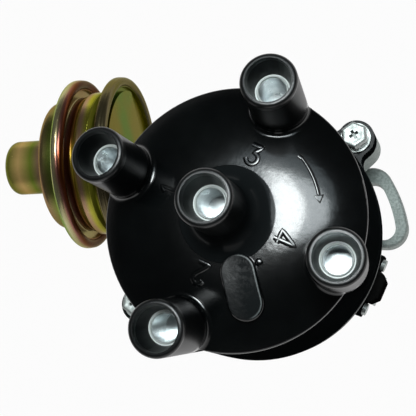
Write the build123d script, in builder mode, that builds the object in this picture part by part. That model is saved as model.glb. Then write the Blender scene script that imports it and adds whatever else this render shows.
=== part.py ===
from build123d import *
from math import cos, hypot, radians, sin, sqrt

# Ignition distributor for a four-cylinder engine, in millimetres.
# The origin is on the shaft's axis at the seat face under the clamping flange, +Z up.
# The vacuum unit points towards -X and the clamping ear towards +X.

# Clearances
running_gap = 0.05  # radial, between a pin or shaft and the hole that it turns in
face_gap = 0.3  # between faces that turn or slide past each other

# Shaft, bushes and drive gear
shaft_radius = 6.0
spindle_radius = 4.5  # the thinner top of the shaft, inside the rotor sleeve
bush_wall = 1.95
bush_length = 16.0
shaft_end_length = 2.0  # shaft that shows below the gear
gear_teeth = 13
gear_outer_radius = 13.6
gear_root_radius = 10.6
gear_face_width = 12.5
gear_twist = 34.0  # turn of the helical teeth over their width, degrees
gear_hub_radius = 9.5
gear_hub_length = 6.0
gear_root_share = 0.29  # half a tooth's width over the pitch, at its root
gear_tip_share = 0.14
gear_tooth_sink = 0.5
shaft_chamfer = 1.0
roll_pin_radius = 2.0
roll_pin_bore_radius = 1.2
roll_pin_slit = 0.6
roll_pin_inset = 0.5  # at each end, in the gear's hub
lower_washer_thickness = 1.5
lower_washer_radius = 11.0

# Housing
neck_radius = 14.5
neck_length = 32.0
ring_section = 2.6  # thickness of the neck's rubber ring
ring_squeeze_stand = 0.2  # how far the ring stands out of its groove
ring_height = -9.0
flange_radius = 24.0
flange_thickness = 6.5
bowl_floor = 8.0
governor_room_radius = 33.0
bowl_wall = 4.5
cone_start = 4.0
rim_inner_radius = 38.0
rim_outer_radius = 41.5
rim_depth = 8.0  # from the base plate's seat up to the rim
rim_cone_height = 4.0  # outside cone under the rim
casting_round = 1.2

# Clamping ear with its curved slot
ear_reach = 48.9
slot_reach = 40.4
slot_width = 8.6
slot_start = 7.0  # azimuth of the slot's first round end, degrees
slot_end = 25.5
ear_start = -3.0
ear_end = 39.0
ear_corner = 7.5

# Governor
thrust_washer_thickness = 1.0
thrust_washer_radius = 10.0
governor_plate_radius = 27.0
governor_plate_thickness = 2.2
governor_hub_radius = 8.0
governor_hub_height = 4.0
plate_hole_reach = 17.5  # lightening holes
plate_lightening_radius = 4.0
weight_pivot_reach = 20.0
pivot_radius = 2.5
weight_thickness = 5.0
weight_outer_radius = 24.5
weight_inner_radius = 11.5
weight_tail_azimuth = -140.0
weight_root_azimuth = -8.0
weight_boss_radius = 5.5
weight_round = 3.0
drive_pin_inset = 8.0  # from the weight's pivot to its drive pin
drive_pin_radius = 1.8
drive_pin_boss_radius = 3.2
drive_pin_slack = 0.12
drive_pin_sink = 0.2  # how far the drive pins end below the yoke's top
yoke_slot_margin = 0.2
clip_thickness = 0.6
clip_radius = 3.6
clip_neck_radius = 1.9
clip_slit = 1.8
pivot_stand = 0.3  # how far the weights' pivots stand out of their clips
spring_post_reach = 22.0
spring_post_azimuth = 27.0
yoke_post_reach = 12.5
yoke_post_azimuth = -60.0
spring_post_radius = 1.0
spring_coil_radius = 1.6
spring_wire_radius = 0.4
spring_lift = 0.1  # between the yoke and the springs
spring_post_stand = 0.6

# Rotor sleeve and its yoke
yoke_lift = 1.4  # from the weights' top up to the yoke
yoke_thickness = 2.0
yoke_reach = 14.5
yoke_arm_width = 9.0
yoke_ear_width = 5.0  # round the springs' posts
spring_room = 3.8  # between the yoke and the base plate
sleeve_radius = 8.0
sleeve_height = 31.8
sleeve_counterbore_radius = 6.6
sleeve_counterbore_depth = 6.3
sleeve_washer_radius = 6.0
sleeve_washer_thickness = 1.2
sleeve_screw_radius = 2.0
sleeve_screw_length = 10.0
sleeve_screw_head_radius = 3.5
sleeve_screw_head_height = 2.5
sleeve_screw_round = 0.6
sleeve_cross_length = 4.0
sleeve_cross_width = 1.0
sleeve_cross_depth = 1.4

# Plates and pickup
base_plate_thickness = 1.5
base_plate_slack = 0.2
plate_hole_radius = 17.0
collar_wall = 2.4
collar_depth = 1.5
advance_plate_radius = 31.8
advance_plate_thickness = 2.0
small_screw_radius = 1.5
small_head_radius = 2.6
small_head_height = 2.0
small_cross_length = 3.6
small_cross_width = 0.8
small_cross_depth = 1.2
base_screw_reach = 35.3
base_screw_azimuths = (50.0, 230.0)
base_screw_length = 9.0
arm_pin_reach = 29.2
arm_pin_azimuth = 85.0
arm_pin_radius = 2.0
arm_pin_slack = 0.15
magnet_outer_radius = 24.6
magnet_inner_radius = 19.5
magnet_height = 3.7
coil_inner_radius = 16.2
coil_height = 5.4
coil_flange = 0.8
winding_inset = 0.2
stator_thickness = 2.0
claw_height = 5.5
claw_width = 5.0
claw_thickness = 2.0
air_gap = 0.4
reluctor_radius = 14.8
reluctor_hub_radius = 10.6
reluctor_height = 8.2
tooth_width = 4.0
pole_count = 4
pickup_screw_reach = 22.2

# Rotor
rotor_height = 42.0
rotor_hub_radius = 11.0
rotor_disc_radius = 17.0
rotor_disc_thickness = 3.0
rotor_arm_thickness = 6.0
rotor_arm_reach = 27.5
rotor_arm_width = 12.5
blade_reach = 31.6
blade_width = 8.0
blade_thickness = 1.2
contact_radius = 4.5
contact_height = 2.5
contact_round = 1.2

# Distributor cap
cap_outer_radius = 42.0
cap_foot_radius = 42.4
cap_inner_radius = 39.0
cap_skirt_height = 36.5
dome_rise = 8.0
dome_bulge = 1.9  # how far the dome stands over the straight cone
shoulder_round = 0.8
cap_roof = 4.5
cap_inner_round = 4.0
hub_radius = 15.3
hub_flare_height = 9.0
hub_flare_share = 0.29  # how far out the flare's middle lies
tower_radius = 8.7
tower_splay = 6.8  # lean of the plug towers away from the axis, degrees
tower_mouth_reach = 39.7
tower_mouth_height = 94.6
tower_length = 50.0
tower_azimuths = (154.7, 64.7, 334.7, 244.7)  # cylinders 1, 3, 4, 2
tower_lip_round = 1.3
mouth_radius = 7.0
mouth_depth = 9.0
terminal_radius = 5.35
terminal_bore_radius = 4.2
terminal_bore_depth = 12.0
terminal_length = 15.0
stem_radius = 2.5
stem_drop = 2.0  # how far the stems reach below the rotor's blade
stem_boss_radius = 5.0
stem_stand = 4.5  # how far the stems stand out of their bosses
brush_boss_radius = 6.0
brush_stand = 2.0  # how far the brush stands out of its boss
brush_room = 8.5  # for the spring between the brush and the coil terminal
brush_length = 12.0
brush_round = 1.0
brush_wire_radius = 0.3
brush_spring_turns = 4
brush_spring_slack = 0.1
cap_ear_reach = 46.5
cap_ear_radius = 6.2
cap_ear_height = 6.5
cap_ear_azimuths = (41.0, 209.5)
cap_ear_round = 3.5
spot_face_height = 9.0
lug_depth = 12.0
boss_azimuth = -78.5
boss_start = 12.7
boss_end = 33.3
boss_width = 11.2
boss_rise = 1.9
boss_round = 0.8
seal_width = 1.4
seal_height = 1.2

# Cap screws
cap_screw_radius = 2.5
cap_screw_across_flats = 8.0
cap_screw_head_height = 3.5
cap_washer_radius = 5.0
cap_washer_thickness = 1.0
spring_washer_radius = 4.3
spring_washer_thickness = 1.2
spring_washer_slit = 0.8
cap_screw_grip = 8.0  # thread in the housing's lug
thread_run_out = 1.0
cross_width = 1.3
cross_length = 5.0
cross_depth = 1.6

# Vacuum unit, turned about an axis along X
can_sheet = 1.0
can_rounds = (3.6, 1.6, 2.4, 0.6, 0.6, 1.4, 1.4)  # outside bends, from the cup to the crimp
spool_rounds = (0.1, 0.4, 0.5, 0.5, 0.5, 0.5, 0.8, 1.4, 1.4)
can_rim_radius = 30.5
can_rim_thickness = 3.4
outer_rim_place = -64.4
inner_rim_place = -49.0
crimp_depth = 3.5  # how far the crimped edge reaches inwards
cup_radius = 9.8
cup_end = -93.0
shoulder_radius = 23.0
shoulder_place = -74.0
shoulder_end = -68.0
shoulder_step = 2.5
spool_radius = 24.0
spool_rib_radius = 25.6
spool_rib_width = 4.0
spool_rib_slope = 1.0
diaphragm_thickness = 0.6
roll_half = 2.0  # half the width of the diaphragm's rolled convolution
roll_crown = 1.2
roll_rise = 1.44
roll_wall = 0.5
diaphragm_plate_radius = 13.0
rod_radius = 2.5
rod_strip_width = 5.6
rod_strip_thickness = 1.5
rod_eye_radius = 3.6
rod_strip_end = -40.0
axis_over_plate = 1.6  # from the advance plate's top up to the vacuum unit's axis
rod_hole_radius = 6.0
vacuum_spring_radius = 5.9
vacuum_spring_wire_radius = 0.7
vacuum_spring_turns = 5
nipple_radius = 2.5
nipple_bore_radius = 1.3
nipple_length = 13.5  # below the can
nipple_taper = 1.5
nipple_tip_round = 0.6
nipple_collar_radius = 3.2
nipple_collar_length = 1.2
outer_nipple_place = -71.3
bracket_thickness = 1.6
bracket_radius = 25.5
bracket_cut_reach = 16.5
bracket_cut_angle = -45.0  # from +Y towards -Z
foot_drop = 17.4
foot_width = 20.0
pad_end = -44.5
pad_depth = 9.0
pad_margin = 1.0
pad_round = 4.0
vacuum_screw_place = -39.5
vacuum_screw_spacing = 11.0
vacuum_screw_radius = 2.5
vacuum_screw_head_radius = 4.4
vacuum_screw_head_height = 3.0
vacuum_screw_length = 7.5
notch_width = 8.4
notch_depth = 4.8

# Connector block
connector_azimuth = -24.5
connector_seat = 38.5
connector_plate_thickness = 1.7
connector_plate_width = 22.4
connector_plate_height = 11.0
connector_middle_height = 14.0
connector_nose_width = 11.4
connector_nose_reach = 44.0
connector_nose_bevel = 2.4  # cut off the nose's two outer corners
connector_nose_height = 9.5
connector_nose_round = 1.0
connector_plate_round = 3.0
connector_screw_spacing = 16.4
connector_screw_length = 6.0
connector_head_radius = 2.1
connector_head_height = 1.3
tab_width = 4.8
tab_thickness = 0.8
tab_length = 9.0
tab_spacing = 6.0

# Heights that follow from the sizes above, from the seat face up
plate_bottom = bowl_floor + thrust_washer_thickness + face_gap
plate_top = plate_bottom + governor_plate_thickness
weight_bottom = plate_top + face_gap
weight_top = weight_bottom + weight_thickness
yoke_bottom = weight_top + yoke_lift
yoke_top = yoke_bottom + yoke_thickness
spindle_foot = yoke_bottom - face_gap
base_seat = yoke_top + spring_room
rim_height = base_seat + rim_depth
base_top = base_seat + base_plate_thickness
advance_bottom = base_top + face_gap
advance_top = advance_bottom + advance_plate_thickness
vacuum_height = advance_top + axis_over_plate
magnet_top = advance_top + magnet_height
stator_top = magnet_top + stator_thickness
claw_top = stator_top + claw_height
sleeve_top = yoke_bottom + sleeve_height
spindle_top = sleeve_top - sleeve_counterbore_depth + face_gap
rotor_top = sleeve_top + rotor_arm_thickness
blade_top = rotor_top + blade_thickness
contact_top = blade_top + contact_height
shoulder_height = rim_height + cap_skirt_height
dome_height = shoulder_height + dome_rise
cap_ear_top = rim_height + cap_ear_height
washer_top = cap_ear_top + cap_washer_thickness
head_seat = washer_top + spring_washer_thickness
lower_washer_top = -neck_length - face_gap
gear_top = lower_washer_top - lower_washer_thickness
gear_hub_top = gear_top - gear_face_width
gear_bottom = gear_hub_top - gear_hub_length
roll_pin_height = gear_hub_top - gear_hub_length / 2
shaft_bottom = gear_bottom - shaft_end_length
bush_radius = shaft_radius + running_gap + bush_wall
bowl_radius = governor_room_radius + bowl_wall
drive_pin_reach = weight_pivot_reach - drive_pin_inset
vacuum_side = arm_pin_reach
foot_height = vacuum_height - foot_drop
foot_end = -sqrt(bowl_radius**2 - (vacuum_side - foot_width / 2) ** 2) - face_gap
brush_tip_height = contact_top + face_gap
brush_top = brush_tip_height + brush_length
brush_boss_height = brush_tip_height + brush_stand
terminal_foot = mouth_depth + terminal_length
brush_spring_top = brush_top + brush_room
centre_mouth_height = brush_spring_top + terminal_foot
stem_tip_height = rotor_top - stem_drop
stem_boss_height = stem_tip_height + stem_stand


def polar(radius, azimuth):
    """Point in the XY plane at a radius and an azimuth in degrees."""
    return (radius * cos(radians(azimuth)), radius * sin(radians(azimuth)))


def save(piece, name):
    """Label a finished piece and write its STEP file."""
    piece.part.label = name
    export_step(piece.part, f"parts/{name}.step")


def ring(outer, inner, bottom, height):
    """Plain flat ring about the shaft's axis."""
    with BuildPart() as piece:
        with BuildSketch(Plane.XY.offset(bottom)):
            Circle(outer)
            Circle(inner, mode=Mode.SUBTRACT)
        extrude(amount=height)
    return piece


# ---------------------------------------------------------------- housing
lug_bottom = rim_height - lug_depth
ring_groove_radius = neck_radius + ring_squeeze_stand - ring_section
seal_radius = (rim_inner_radius + rim_outer_radius) / 2
notch_floor = rim_height - notch_depth
connector_plane = Plane(
    origin=(*polar(connector_seat, connector_azimuth), connector_middle_height),
    x_dir=(-sin(radians(connector_azimuth)), cos(radians(connector_azimuth)), 0),
    z_dir=(cos(radians(connector_azimuth)), sin(radians(connector_azimuth)), 0),
)

with BuildPart() as clamping_ear:
    with BuildSketch():
        with BuildLine():
            outer = CenterArc((0, 0), ear_reach, ear_start, ear_end - ear_start)
            Line(outer @ 1, (0, 0))
            Line((0, 0), outer @ 0)
        make_face()
        ear_corners = [v for v in vertices() if hypot(v.X, v.Y) > flange_radius]
        fillet(ear_corners, ear_corner)
        slot_line = CenterArc((0, 0), slot_reach, slot_start, slot_end - slot_start)
        SlotArc(slot_line, slot_width, mode=Mode.SUBTRACT)
    extrude(amount=flange_thickness)
    ear_top = clamping_ear.faces().sort_by(Axis.Z)[-1]
    rim = ear_top.outer_wire().edges().filter_by(lambda e: e.center().X > flange_radius)
    fillet(rim, casting_round)

with BuildPart() as housing:
    with BuildSketch(Plane.XZ):
        with BuildLine():
            Polyline(
                (0, -neck_length),
                (neck_radius, -neck_length),
                (neck_radius, 0),
                (flange_radius, 0),
                (flange_radius, cone_start),
                (bowl_radius, bowl_floor + bowl_wall),
                (bowl_radius, base_seat - rim_cone_height),
                (rim_outer_radius, base_seat),
                (rim_outer_radius, rim_height),
                (0, rim_height),
                close=True,
            )
        make_face()
    revolve(axis=Axis.Z)
    chamfer(housing.edges().filter_by(GeomType.CIRCLE).sort_by(Axis.Z)[0], casting_round)
    add(clamping_ear.part)
    # Lugs that the cap's screws go into
    with BuildSketch(Plane.XY.offset(lug_bottom)):
        for azimuth in cap_ear_azimuths:
            with PolarLocations(cap_ear_reach, 1, start_angle=azimuth):
                Circle(cap_ear_radius)
            with PolarLocations(cap_ear_reach - cap_ear_radius, 1, start_angle=azimuth):
                Rectangle(2 * cap_ear_radius, 2 * cap_ear_radius)
    extrude(amount=lug_depth)
    # Pad under the vacuum unit's foot
    with BuildSketch(Plane.XY.offset(foot_height - pad_depth)):
        with Locations((pad_end / 2, vacuum_side)):
            RectangleRounded(-pad_end, foot_width + 2 * pad_margin, pad_round)
    extrude(amount=pad_depth)
    # Pad behind the connector block
    with BuildSketch(connector_plane):
        Rectangle(connector_plate_width, connector_plate_height)
    extrude(amount=-(connector_seat - governor_room_radius + bowl_wall))
    # Inside of the bowl
    with BuildSketch(Plane.XY.offset(bowl_floor)):
        Circle(governor_room_radius)
    extrude(amount=rim_height, mode=Mode.SUBTRACT)
    with BuildSketch(Plane.XY.offset(base_seat)):
        Circle(rim_inner_radius)
    extrude(amount=rim_height, mode=Mode.SUBTRACT)
    with BuildSketch(Plane.XY.offset(rim_height - seal_height)):
        Circle(seal_radius + seal_width / 2)
        Circle(seal_radius - seal_width / 2, mode=Mode.SUBTRACT)
    extrude(amount=seal_height, mode=Mode.SUBTRACT)
    with BuildSketch(Plane.XY.offset(-neck_length)):
        Circle(bush_radius)
    extrude(amount=neck_length + bowl_floor, mode=Mode.SUBTRACT)
    # Groove for the neck's rubber ring
    with BuildSketch(Plane.XY.offset(ring_height - ring_section / 2)):
        Circle(neck_radius)
        Circle(ring_groove_radius, mode=Mode.SUBTRACT)
    extrude(amount=ring_section, mode=Mode.SUBTRACT)
    # Notch in the rim for the vacuum rod
    with BuildSketch(Plane.XY.offset(notch_floor)):
        with Locations((-rim_outer_radius / 2 - sleeve_radius, vacuum_side)):
            Rectangle(rim_outer_radius - sleeve_radius, notch_width)
    extrude(amount=notch_depth, mode=Mode.SUBTRACT)
    # Threaded holes
    with BuildSketch(Plane.XY.offset(rim_height)):
        for azimuth in cap_ear_azimuths:
            with Locations(polar(cap_ear_reach, azimuth)):
                Circle(cap_screw_radius)
    extrude(amount=-cap_screw_grip - thread_run_out, mode=Mode.SUBTRACT)
    with BuildSketch(Plane.XY.offset(base_seat)):
        for azimuth in base_screw_azimuths:
            with Locations(polar(base_screw_reach, azimuth)):
                Circle(small_screw_radius)
    extrude(amount=-base_screw_length, mode=Mode.SUBTRACT)
    with BuildSketch(Plane.XY.offset(foot_height)):
        with Locations((vacuum_screw_place, vacuum_side)):
            with GridLocations(1, vacuum_screw_spacing, 1, 2):
                Circle(vacuum_screw_radius)
    extrude(amount=-vacuum_screw_length, mode=Mode.SUBTRACT)
    with BuildSketch(connector_plane):
        with GridLocations(connector_screw_spacing, 1, 2, 1):
            Circle(small_screw_radius)
    extrude(amount=-connector_screw_length, mode=Mode.SUBTRACT)
save(housing, "housing")

with BuildPart() as neck_ring:
    with BuildSketch(Plane.XZ):
        with Locations((ring_groove_radius + ring_section / 2, ring_height)):
            Circle(ring_section / 2)
    revolve(axis=Axis.Z)
save(neck_ring, "neck_o_ring")

upper_bush = ring(bush_radius, shaft_radius + running_gap, bowl_floor - bush_length, bush_length)
save(upper_bush, "upper_bush")
lower_bush = ring(bush_radius, shaft_radius + running_gap, -neck_length, bush_length)
save(lower_bush, "lower_bush")
thrust_washer = ring(thrust_washer_radius, shaft_radius + face_gap, bowl_floor, thrust_washer_thickness)
save(thrust_washer, "thrust_washer")

# ---------------------------------------------------------------- shaft, gear and its pin
with BuildPart() as drive_shaft:
    with BuildSketch(Plane.XY.offset(shaft_bottom)):
        Circle(shaft_radius)
    extrude(amount=spindle_foot - shaft_bottom)
    with BuildSketch(Plane.XY.offset(spindle_foot)):
        Circle(spindle_radius)
    extrude(amount=spindle_top - spindle_foot)
    chamfer(drive_shaft.edges().filter_by(GeomType.CIRCLE).sort_by(Axis.Z)[0], shaft_chamfer)
    with BuildSketch(Plane.XY.offset(spindle_top)):
        Circle(sleeve_screw_radius)
    extrude(amount=-sleeve_screw_length, mode=Mode.SUBTRACT)
    with BuildSketch(Plane.YZ):
        with Locations((0, roll_pin_height)):
            Circle(roll_pin_radius)
    extrude(amount=gear_hub_radius, both=True, mode=Mode.SUBTRACT)
save(drive_shaft, "drive_shaft")

tooth_angle = 360 / gear_teeth
with BuildSketch(Plane.XY.offset(gear_hub_top)) as gear_outline:
    Circle(gear_root_radius)
    with BuildLine():
        Polyline(
            polar(gear_root_radius - gear_tooth_sink, -tooth_angle * gear_root_share),
            polar(gear_outer_radius, -tooth_angle * gear_tip_share),
            polar(gear_outer_radius, tooth_angle * gear_tip_share),
            polar(gear_root_radius - gear_tooth_sink, tooth_angle * gear_root_share),
            close=True,
        )
    tooth = make_face(mode=Mode.PRIVATE)
    with PolarLocations(0, gear_teeth):
        add(tooth)
    Circle(shaft_radius, mode=Mode.SUBTRACT)

with BuildPart() as drive_gear:
    add(
        Solid.extrude_linear_with_rotation(
            gear_outline.sketch.face(),
            center=(0, 0, gear_hub_top),
            normal=(0, 0, gear_face_width),
            angle=gear_twist,
        )
    )
    with BuildSketch(Plane.XY.offset(gear_bottom)):
        Circle(gear_hub_radius)
        Circle(shaft_radius, mode=Mode.SUBTRACT)
    extrude(amount=gear_hub_length)
    with BuildSketch(Plane.YZ):
        with Locations((0, roll_pin_height)):
            Circle(roll_pin_radius)
    extrude(amount=gear_hub_radius, both=True, mode=Mode.SUBTRACT)
save(drive_gear, "drive_gear")

with BuildPart() as roll_pin:
    with BuildSketch(Plane.YZ.offset(roll_pin_inset - gear_hub_radius)):
        with Locations((0, roll_pin_height)):
            Circle(roll_pin_radius)
            Circle(roll_pin_bore_radius, mode=Mode.SUBTRACT)
        with Locations((roll_pin_radius, roll_pin_height)):
            Rectangle(2 * roll_pin_radius, roll_pin_slit, mode=Mode.SUBTRACT)
    extrude(amount=2 * (gear_hub_radius - roll_pin_inset))
save(roll_pin, "gear_roll_pin")

lower_washer = ring(lower_washer_radius, shaft_radius, gear_top, lower_washer_thickness)
save(lower_washer, "lower_thrust_washer")

# ---------------------------------------------------------------- governor
spring_level = yoke_top + spring_coil_radius + spring_lift
spring_post_top = spring_level + spring_wire_radius + spring_post_stand

with BuildPart() as governor_plate:
    with BuildSketch(Plane.XY.offset(plate_bottom)):
        Circle(governor_plate_radius)
        Circle(shaft_radius, mode=Mode.SUBTRACT)
        with PolarLocations(plate_hole_reach, 2, start_angle=90):
            Circle(plate_lightening_radius, mode=Mode.SUBTRACT)
    extrude(amount=governor_plate_thickness)
    with BuildSketch(Plane.XY.offset(plate_top)):
        Circle(governor_hub_radius)
        Circle(shaft_radius, mode=Mode.SUBTRACT)
    extrude(amount=governor_hub_height)
    with BuildSketch(Plane.XY.offset(plate_top)):
        with PolarLocations(weight_pivot_reach, 2):
            Circle(pivot_radius)
    extrude(amount=weight_top - plate_top)
    with BuildSketch(Plane.XY.offset(weight_top)):
        with PolarLocations(weight_pivot_reach, 2):
            Circle(clip_neck_radius)
    extrude(amount=face_gap + clip_thickness + pivot_stand)
    with BuildSketch(Plane.XY.offset(plate_top)):
        with PolarLocations(spring_post_reach, 2, start_angle=spring_post_azimuth):
            Circle(spring_post_radius)
    extrude(amount=spring_post_top - plate_top)
save(governor_plate, "governor_plate")


def flyweight(turn):
    """One governor weight, with its pivot hole and drive pin, turned about the shaft's axis."""
    plane = Plane.XY.rotated((0, 0, turn)).offset(weight_bottom)
    pin_plane = Plane.XY.rotated((0, 0, turn)).offset(weight_top)
    sweep_angle = weight_tail_azimuth - weight_root_azimuth
    with BuildPart() as weight:
        with BuildSketch(plane):
            with BuildLine():
                outer = CenterArc((0, 0), weight_outer_radius, weight_root_azimuth, sweep_angle)
                inner = CenterArc((0, 0), weight_inner_radius, weight_root_azimuth, sweep_angle)
                Line(outer @ 0, inner @ 0)
                Line(outer @ 1, inner @ 1)
            make_face()
            fillet([v for v in vertices() if v.X < 0], weight_round)
            with Locations((weight_pivot_reach, 0)):
                Circle(weight_boss_radius)
            with Locations((drive_pin_reach, 0)):
                Circle(drive_pin_boss_radius)
            with Locations(((weight_pivot_reach + drive_pin_reach) / 2, 0)):
                Rectangle(drive_pin_inset, 2 * drive_pin_boss_radius)
            with Locations((weight_pivot_reach, 0)):
                Circle(pivot_radius + running_gap, mode=Mode.SUBTRACT)
        extrude(amount=weight_thickness)
        with BuildSketch(pin_plane):
            with Locations((drive_pin_reach, 0)):
                Circle(drive_pin_radius)
        extrude(amount=yoke_lift + yoke_thickness - drive_pin_sink)
    return weight


save(flyweight(0), "flyweight_a")
save(flyweight(180), "flyweight_b")

with BuildPart() as flyweight_clips:
    with BuildSketch(Plane.XY.offset(weight_top + face_gap)):
        with PolarLocations(weight_pivot_reach, 2):
            Circle(clip_radius)
            Circle(clip_neck_radius, mode=Mode.SUBTRACT)
        with PolarLocations(weight_pivot_reach + clip_radius, 2):
            Rectangle(2 * clip_radius, clip_slit, mode=Mode.SUBTRACT)
    extrude(amount=clip_thickness)
save(flyweight_clips, "flyweight_clips")

# ---------------------------------------------------------------- rotor sleeve and yoke
with BuildPart() as rotor_sleeve:
    with BuildSketch(Plane.XY.offset(yoke_bottom)):
        Circle(drive_pin_reach - drive_pin_radius)
        Rectangle(2 * yoke_reach, yoke_arm_width)
        with PolarLocations(yoke_post_reach / 2, 2, start_angle=yoke_post_azimuth):
            Rectangle(yoke_post_reach, yoke_ear_width)
        with PolarLocations(yoke_post_reach, 2, start_angle=yoke_post_azimuth):
            Circle(yoke_ear_width / 2)
        with PolarLocations(drive_pin_reach + yoke_reach / 2, 2):
            Rectangle(yoke_reach, 2 * (drive_pin_radius + drive_pin_slack), mode=Mode.SUBTRACT)
        with PolarLocations(drive_pin_reach - yoke_slot_margin, 2):
            Circle(drive_pin_radius + drive_pin_slack, mode=Mode.SUBTRACT)
    extrude(amount=yoke_thickness)
    with BuildSketch(Plane.XY.offset(yoke_bottom)):
        Circle(sleeve_radius)
    extrude(amount=sleeve_height)
    with BuildSketch(Plane.XY.offset(yoke_top)):
        with PolarLocations(yoke_post_reach, 2, start_angle=yoke_post_azimuth):
            Circle(spring_post_radius)
    extrude(amount=spring_post_top - yoke_top)
    with BuildSketch(Plane.XY.offset(yoke_bottom)):
        Circle(spindle_radius + running_gap)
    extrude(amount=sleeve_height, mode=Mode.SUBTRACT)
    with BuildSketch(Plane.XY.offset(sleeve_top)):
        Circle(sleeve_counterbore_radius)
    extrude(amount=-sleeve_counterbore_depth, mode=Mode.SUBTRACT)
save(rotor_sleeve, "rotor_sleeve")

post_point = Vector(*polar(spring_post_reach, spring_post_azimuth), spring_level)
yoke_point = Vector(*polar(yoke_post_reach, yoke_post_azimuth), spring_level)
spring_span = yoke_point - post_point
loop_radius = spring_post_radius + running_gap + spring_wire_radius
coil_start = loop_radius + spring_wire_radius / 2
coil_count = int((spring_span.length - 2 * coil_start) / (2 * spring_wire_radius))
coil_pitch = (spring_span.length - 2 * coil_start) / coil_count


def governor_spring(turn):
    """Close-wound tension spring between a post of the plate and a post of the yoke."""
    start = post_point.rotate(Axis.Z, turn)
    finish = yoke_point.rotate(Axis.Z, turn)
    along = (finish - start).normalized()
    side = along.cross(Vector(0, 0, 1))
    section = Plane(origin=start, x_dir=along, z_dir=side)
    with BuildPart() as spring:
        with BuildSketch(section):
            with BuildLine():
                Line((coil_start, 0), (coil_start, spring_coil_radius - spring_wire_radius))
                for number in range(coil_count):
                    left = coil_start + number * coil_pitch
                    ThreePointArc(
                        (left, spring_coil_radius - spring_wire_radius),
                        (left + coil_pitch / 2, spring_coil_radius),
                        (left + coil_pitch, spring_coil_radius - spring_wire_radius),
                    )
                end = spring_span.length - coil_start
                Line((end, spring_coil_radius - spring_wire_radius), (end, 0))
                Line((end, 0), (coil_start, 0))
            make_face()
        revolve(axis=Axis(start, along))
        for centre in (start, finish):
            with BuildSketch(Plane(origin=centre, x_dir=along, z_dir=side)):
                with Locations((loop_radius, 0)):
                    Circle(spring_wire_radius)
            revolve(axis=Axis(centre, (0, 0, 1)))
    return spring


springs = [governor_spring(turn) for turn in (0, 180)]
governor_springs = Compound(children=[spring.part for spring in springs])
governor_springs.label = "governor_springs"
export_step(governor_springs, "parts/governor_springs.step")

# ---------------------------------------------------------------- screw and washer on the spindle
sleeve_washer = ring(sleeve_washer_radius, sleeve_screw_radius, spindle_top, sleeve_washer_thickness)
save(sleeve_washer, "sleeve_washer")

with BuildPart() as sleeve_screw:
    with BuildSketch(Plane.XY.offset(spindle_top + sleeve_washer_thickness)):
        Circle(sleeve_screw_head_radius)
    extrude(amount=sleeve_screw_head_height)
    fillet(sleeve_screw.faces().sort_by(Axis.Z)[-1].edges(), sleeve_screw_round)
    with BuildSketch(Plane.XY.offset(spindle_top + sleeve_washer_thickness + sleeve_screw_head_height)):
        Rectangle(sleeve_cross_length, sleeve_cross_width)
        Rectangle(sleeve_cross_width, sleeve_cross_length)
    extrude(amount=-sleeve_cross_depth, mode=Mode.SUBTRACT)
    with BuildSketch(Plane.XY.offset(spindle_top - sleeve_screw_length)):
        Circle(sleeve_screw_radius)
    extrude(amount=sleeve_screw_length + sleeve_washer_thickness)
save(sleeve_screw, "sleeve_screw")

# ---------------------------------------------------------------- plates
base_plate_radius = rim_inner_radius - base_plate_slack
with BuildPart() as base_plate:
    with BuildSketch(Plane.XY.offset(base_seat)):
        Circle(base_plate_radius)
        Circle(plate_hole_radius, mode=Mode.SUBTRACT)
        for azimuth in base_screw_azimuths:
            with Locations(polar(base_screw_reach, azimuth)):
                Circle(small_screw_radius, mode=Mode.SUBTRACT)
    extrude(amount=base_plate_thickness)
save(base_plate, "base_plate")

with BuildPart() as base_plate_screws:
    for azimuth in base_screw_azimuths:
        with BuildSketch(Plane.XY.offset(base_top)):
            with Locations(polar(base_screw_reach, azimuth)):
                Circle(small_head_radius)
        extrude(amount=small_head_height)
        with BuildSketch(Plane.XY.offset(base_top)):
            with Locations(polar(base_screw_reach, azimuth)):
                Circle(small_screw_radius)
        extrude(amount=-base_screw_length)
        with BuildSketch(Plane.XY.offset(base_top + small_head_height)):
            with Locations(polar(base_screw_reach, azimuth)):
                Rectangle(small_cross_length, small_cross_width)
                Rectangle(small_cross_width, small_cross_length)
        extrude(amount=-small_cross_depth, mode=Mode.SUBTRACT)
save(base_plate_screws, "base_plate_screws")

pole_azimuths = tower_azimuths
collar_radius = plate_hole_radius - running_gap
pickup_screw_azimuths = [azimuth + 180 / pole_count for azimuth in pole_azimuths[:3]]
with BuildPart() as advance_plate:
    with BuildSketch(Plane.XY.offset(advance_bottom)):
        Circle(advance_plate_radius)
    extrude(amount=advance_plate_thickness)
    with BuildSketch(Plane.XY.offset(advance_bottom)):
        Circle(collar_radius)
    extrude(amount=-collar_depth)
    with BuildSketch(Plane.XY.offset(advance_top)):
        Circle(collar_radius - collar_wall)
    extrude(amount=-advance_plate_thickness - collar_depth, mode=Mode.SUBTRACT)
    with BuildSketch(Plane.XY.offset(advance_top)):
        with Locations(polar(arm_pin_reach, arm_pin_azimuth)):
            Circle(arm_pin_radius)
    extrude(amount=axis_over_plate + rod_strip_thickness)
    with BuildSketch(Plane.XY.offset(advance_top)):
        for azimuth in pickup_screw_azimuths:
            with Locations(polar(pickup_screw_reach, azimuth)):
                Circle(small_screw_radius)
    extrude(amount=-advance_plate_thickness, mode=Mode.SUBTRACT)
save(advance_plate, "advance_plate")

# ---------------------------------------------------------------- magnetic pickup
with BuildPart() as pickup_magnet:
    with BuildSketch(Plane.XY.offset(advance_top)):
        Circle(magnet_outer_radius)
        Circle(magnet_inner_radius, mode=Mode.SUBTRACT)
        for azimuth in pickup_screw_azimuths:
            with Locations(polar(pickup_screw_reach, azimuth)):
                Circle(small_screw_radius, mode=Mode.SUBTRACT)
    extrude(amount=magnet_height)
save(pickup_magnet, "pickup_magnet")

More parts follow.
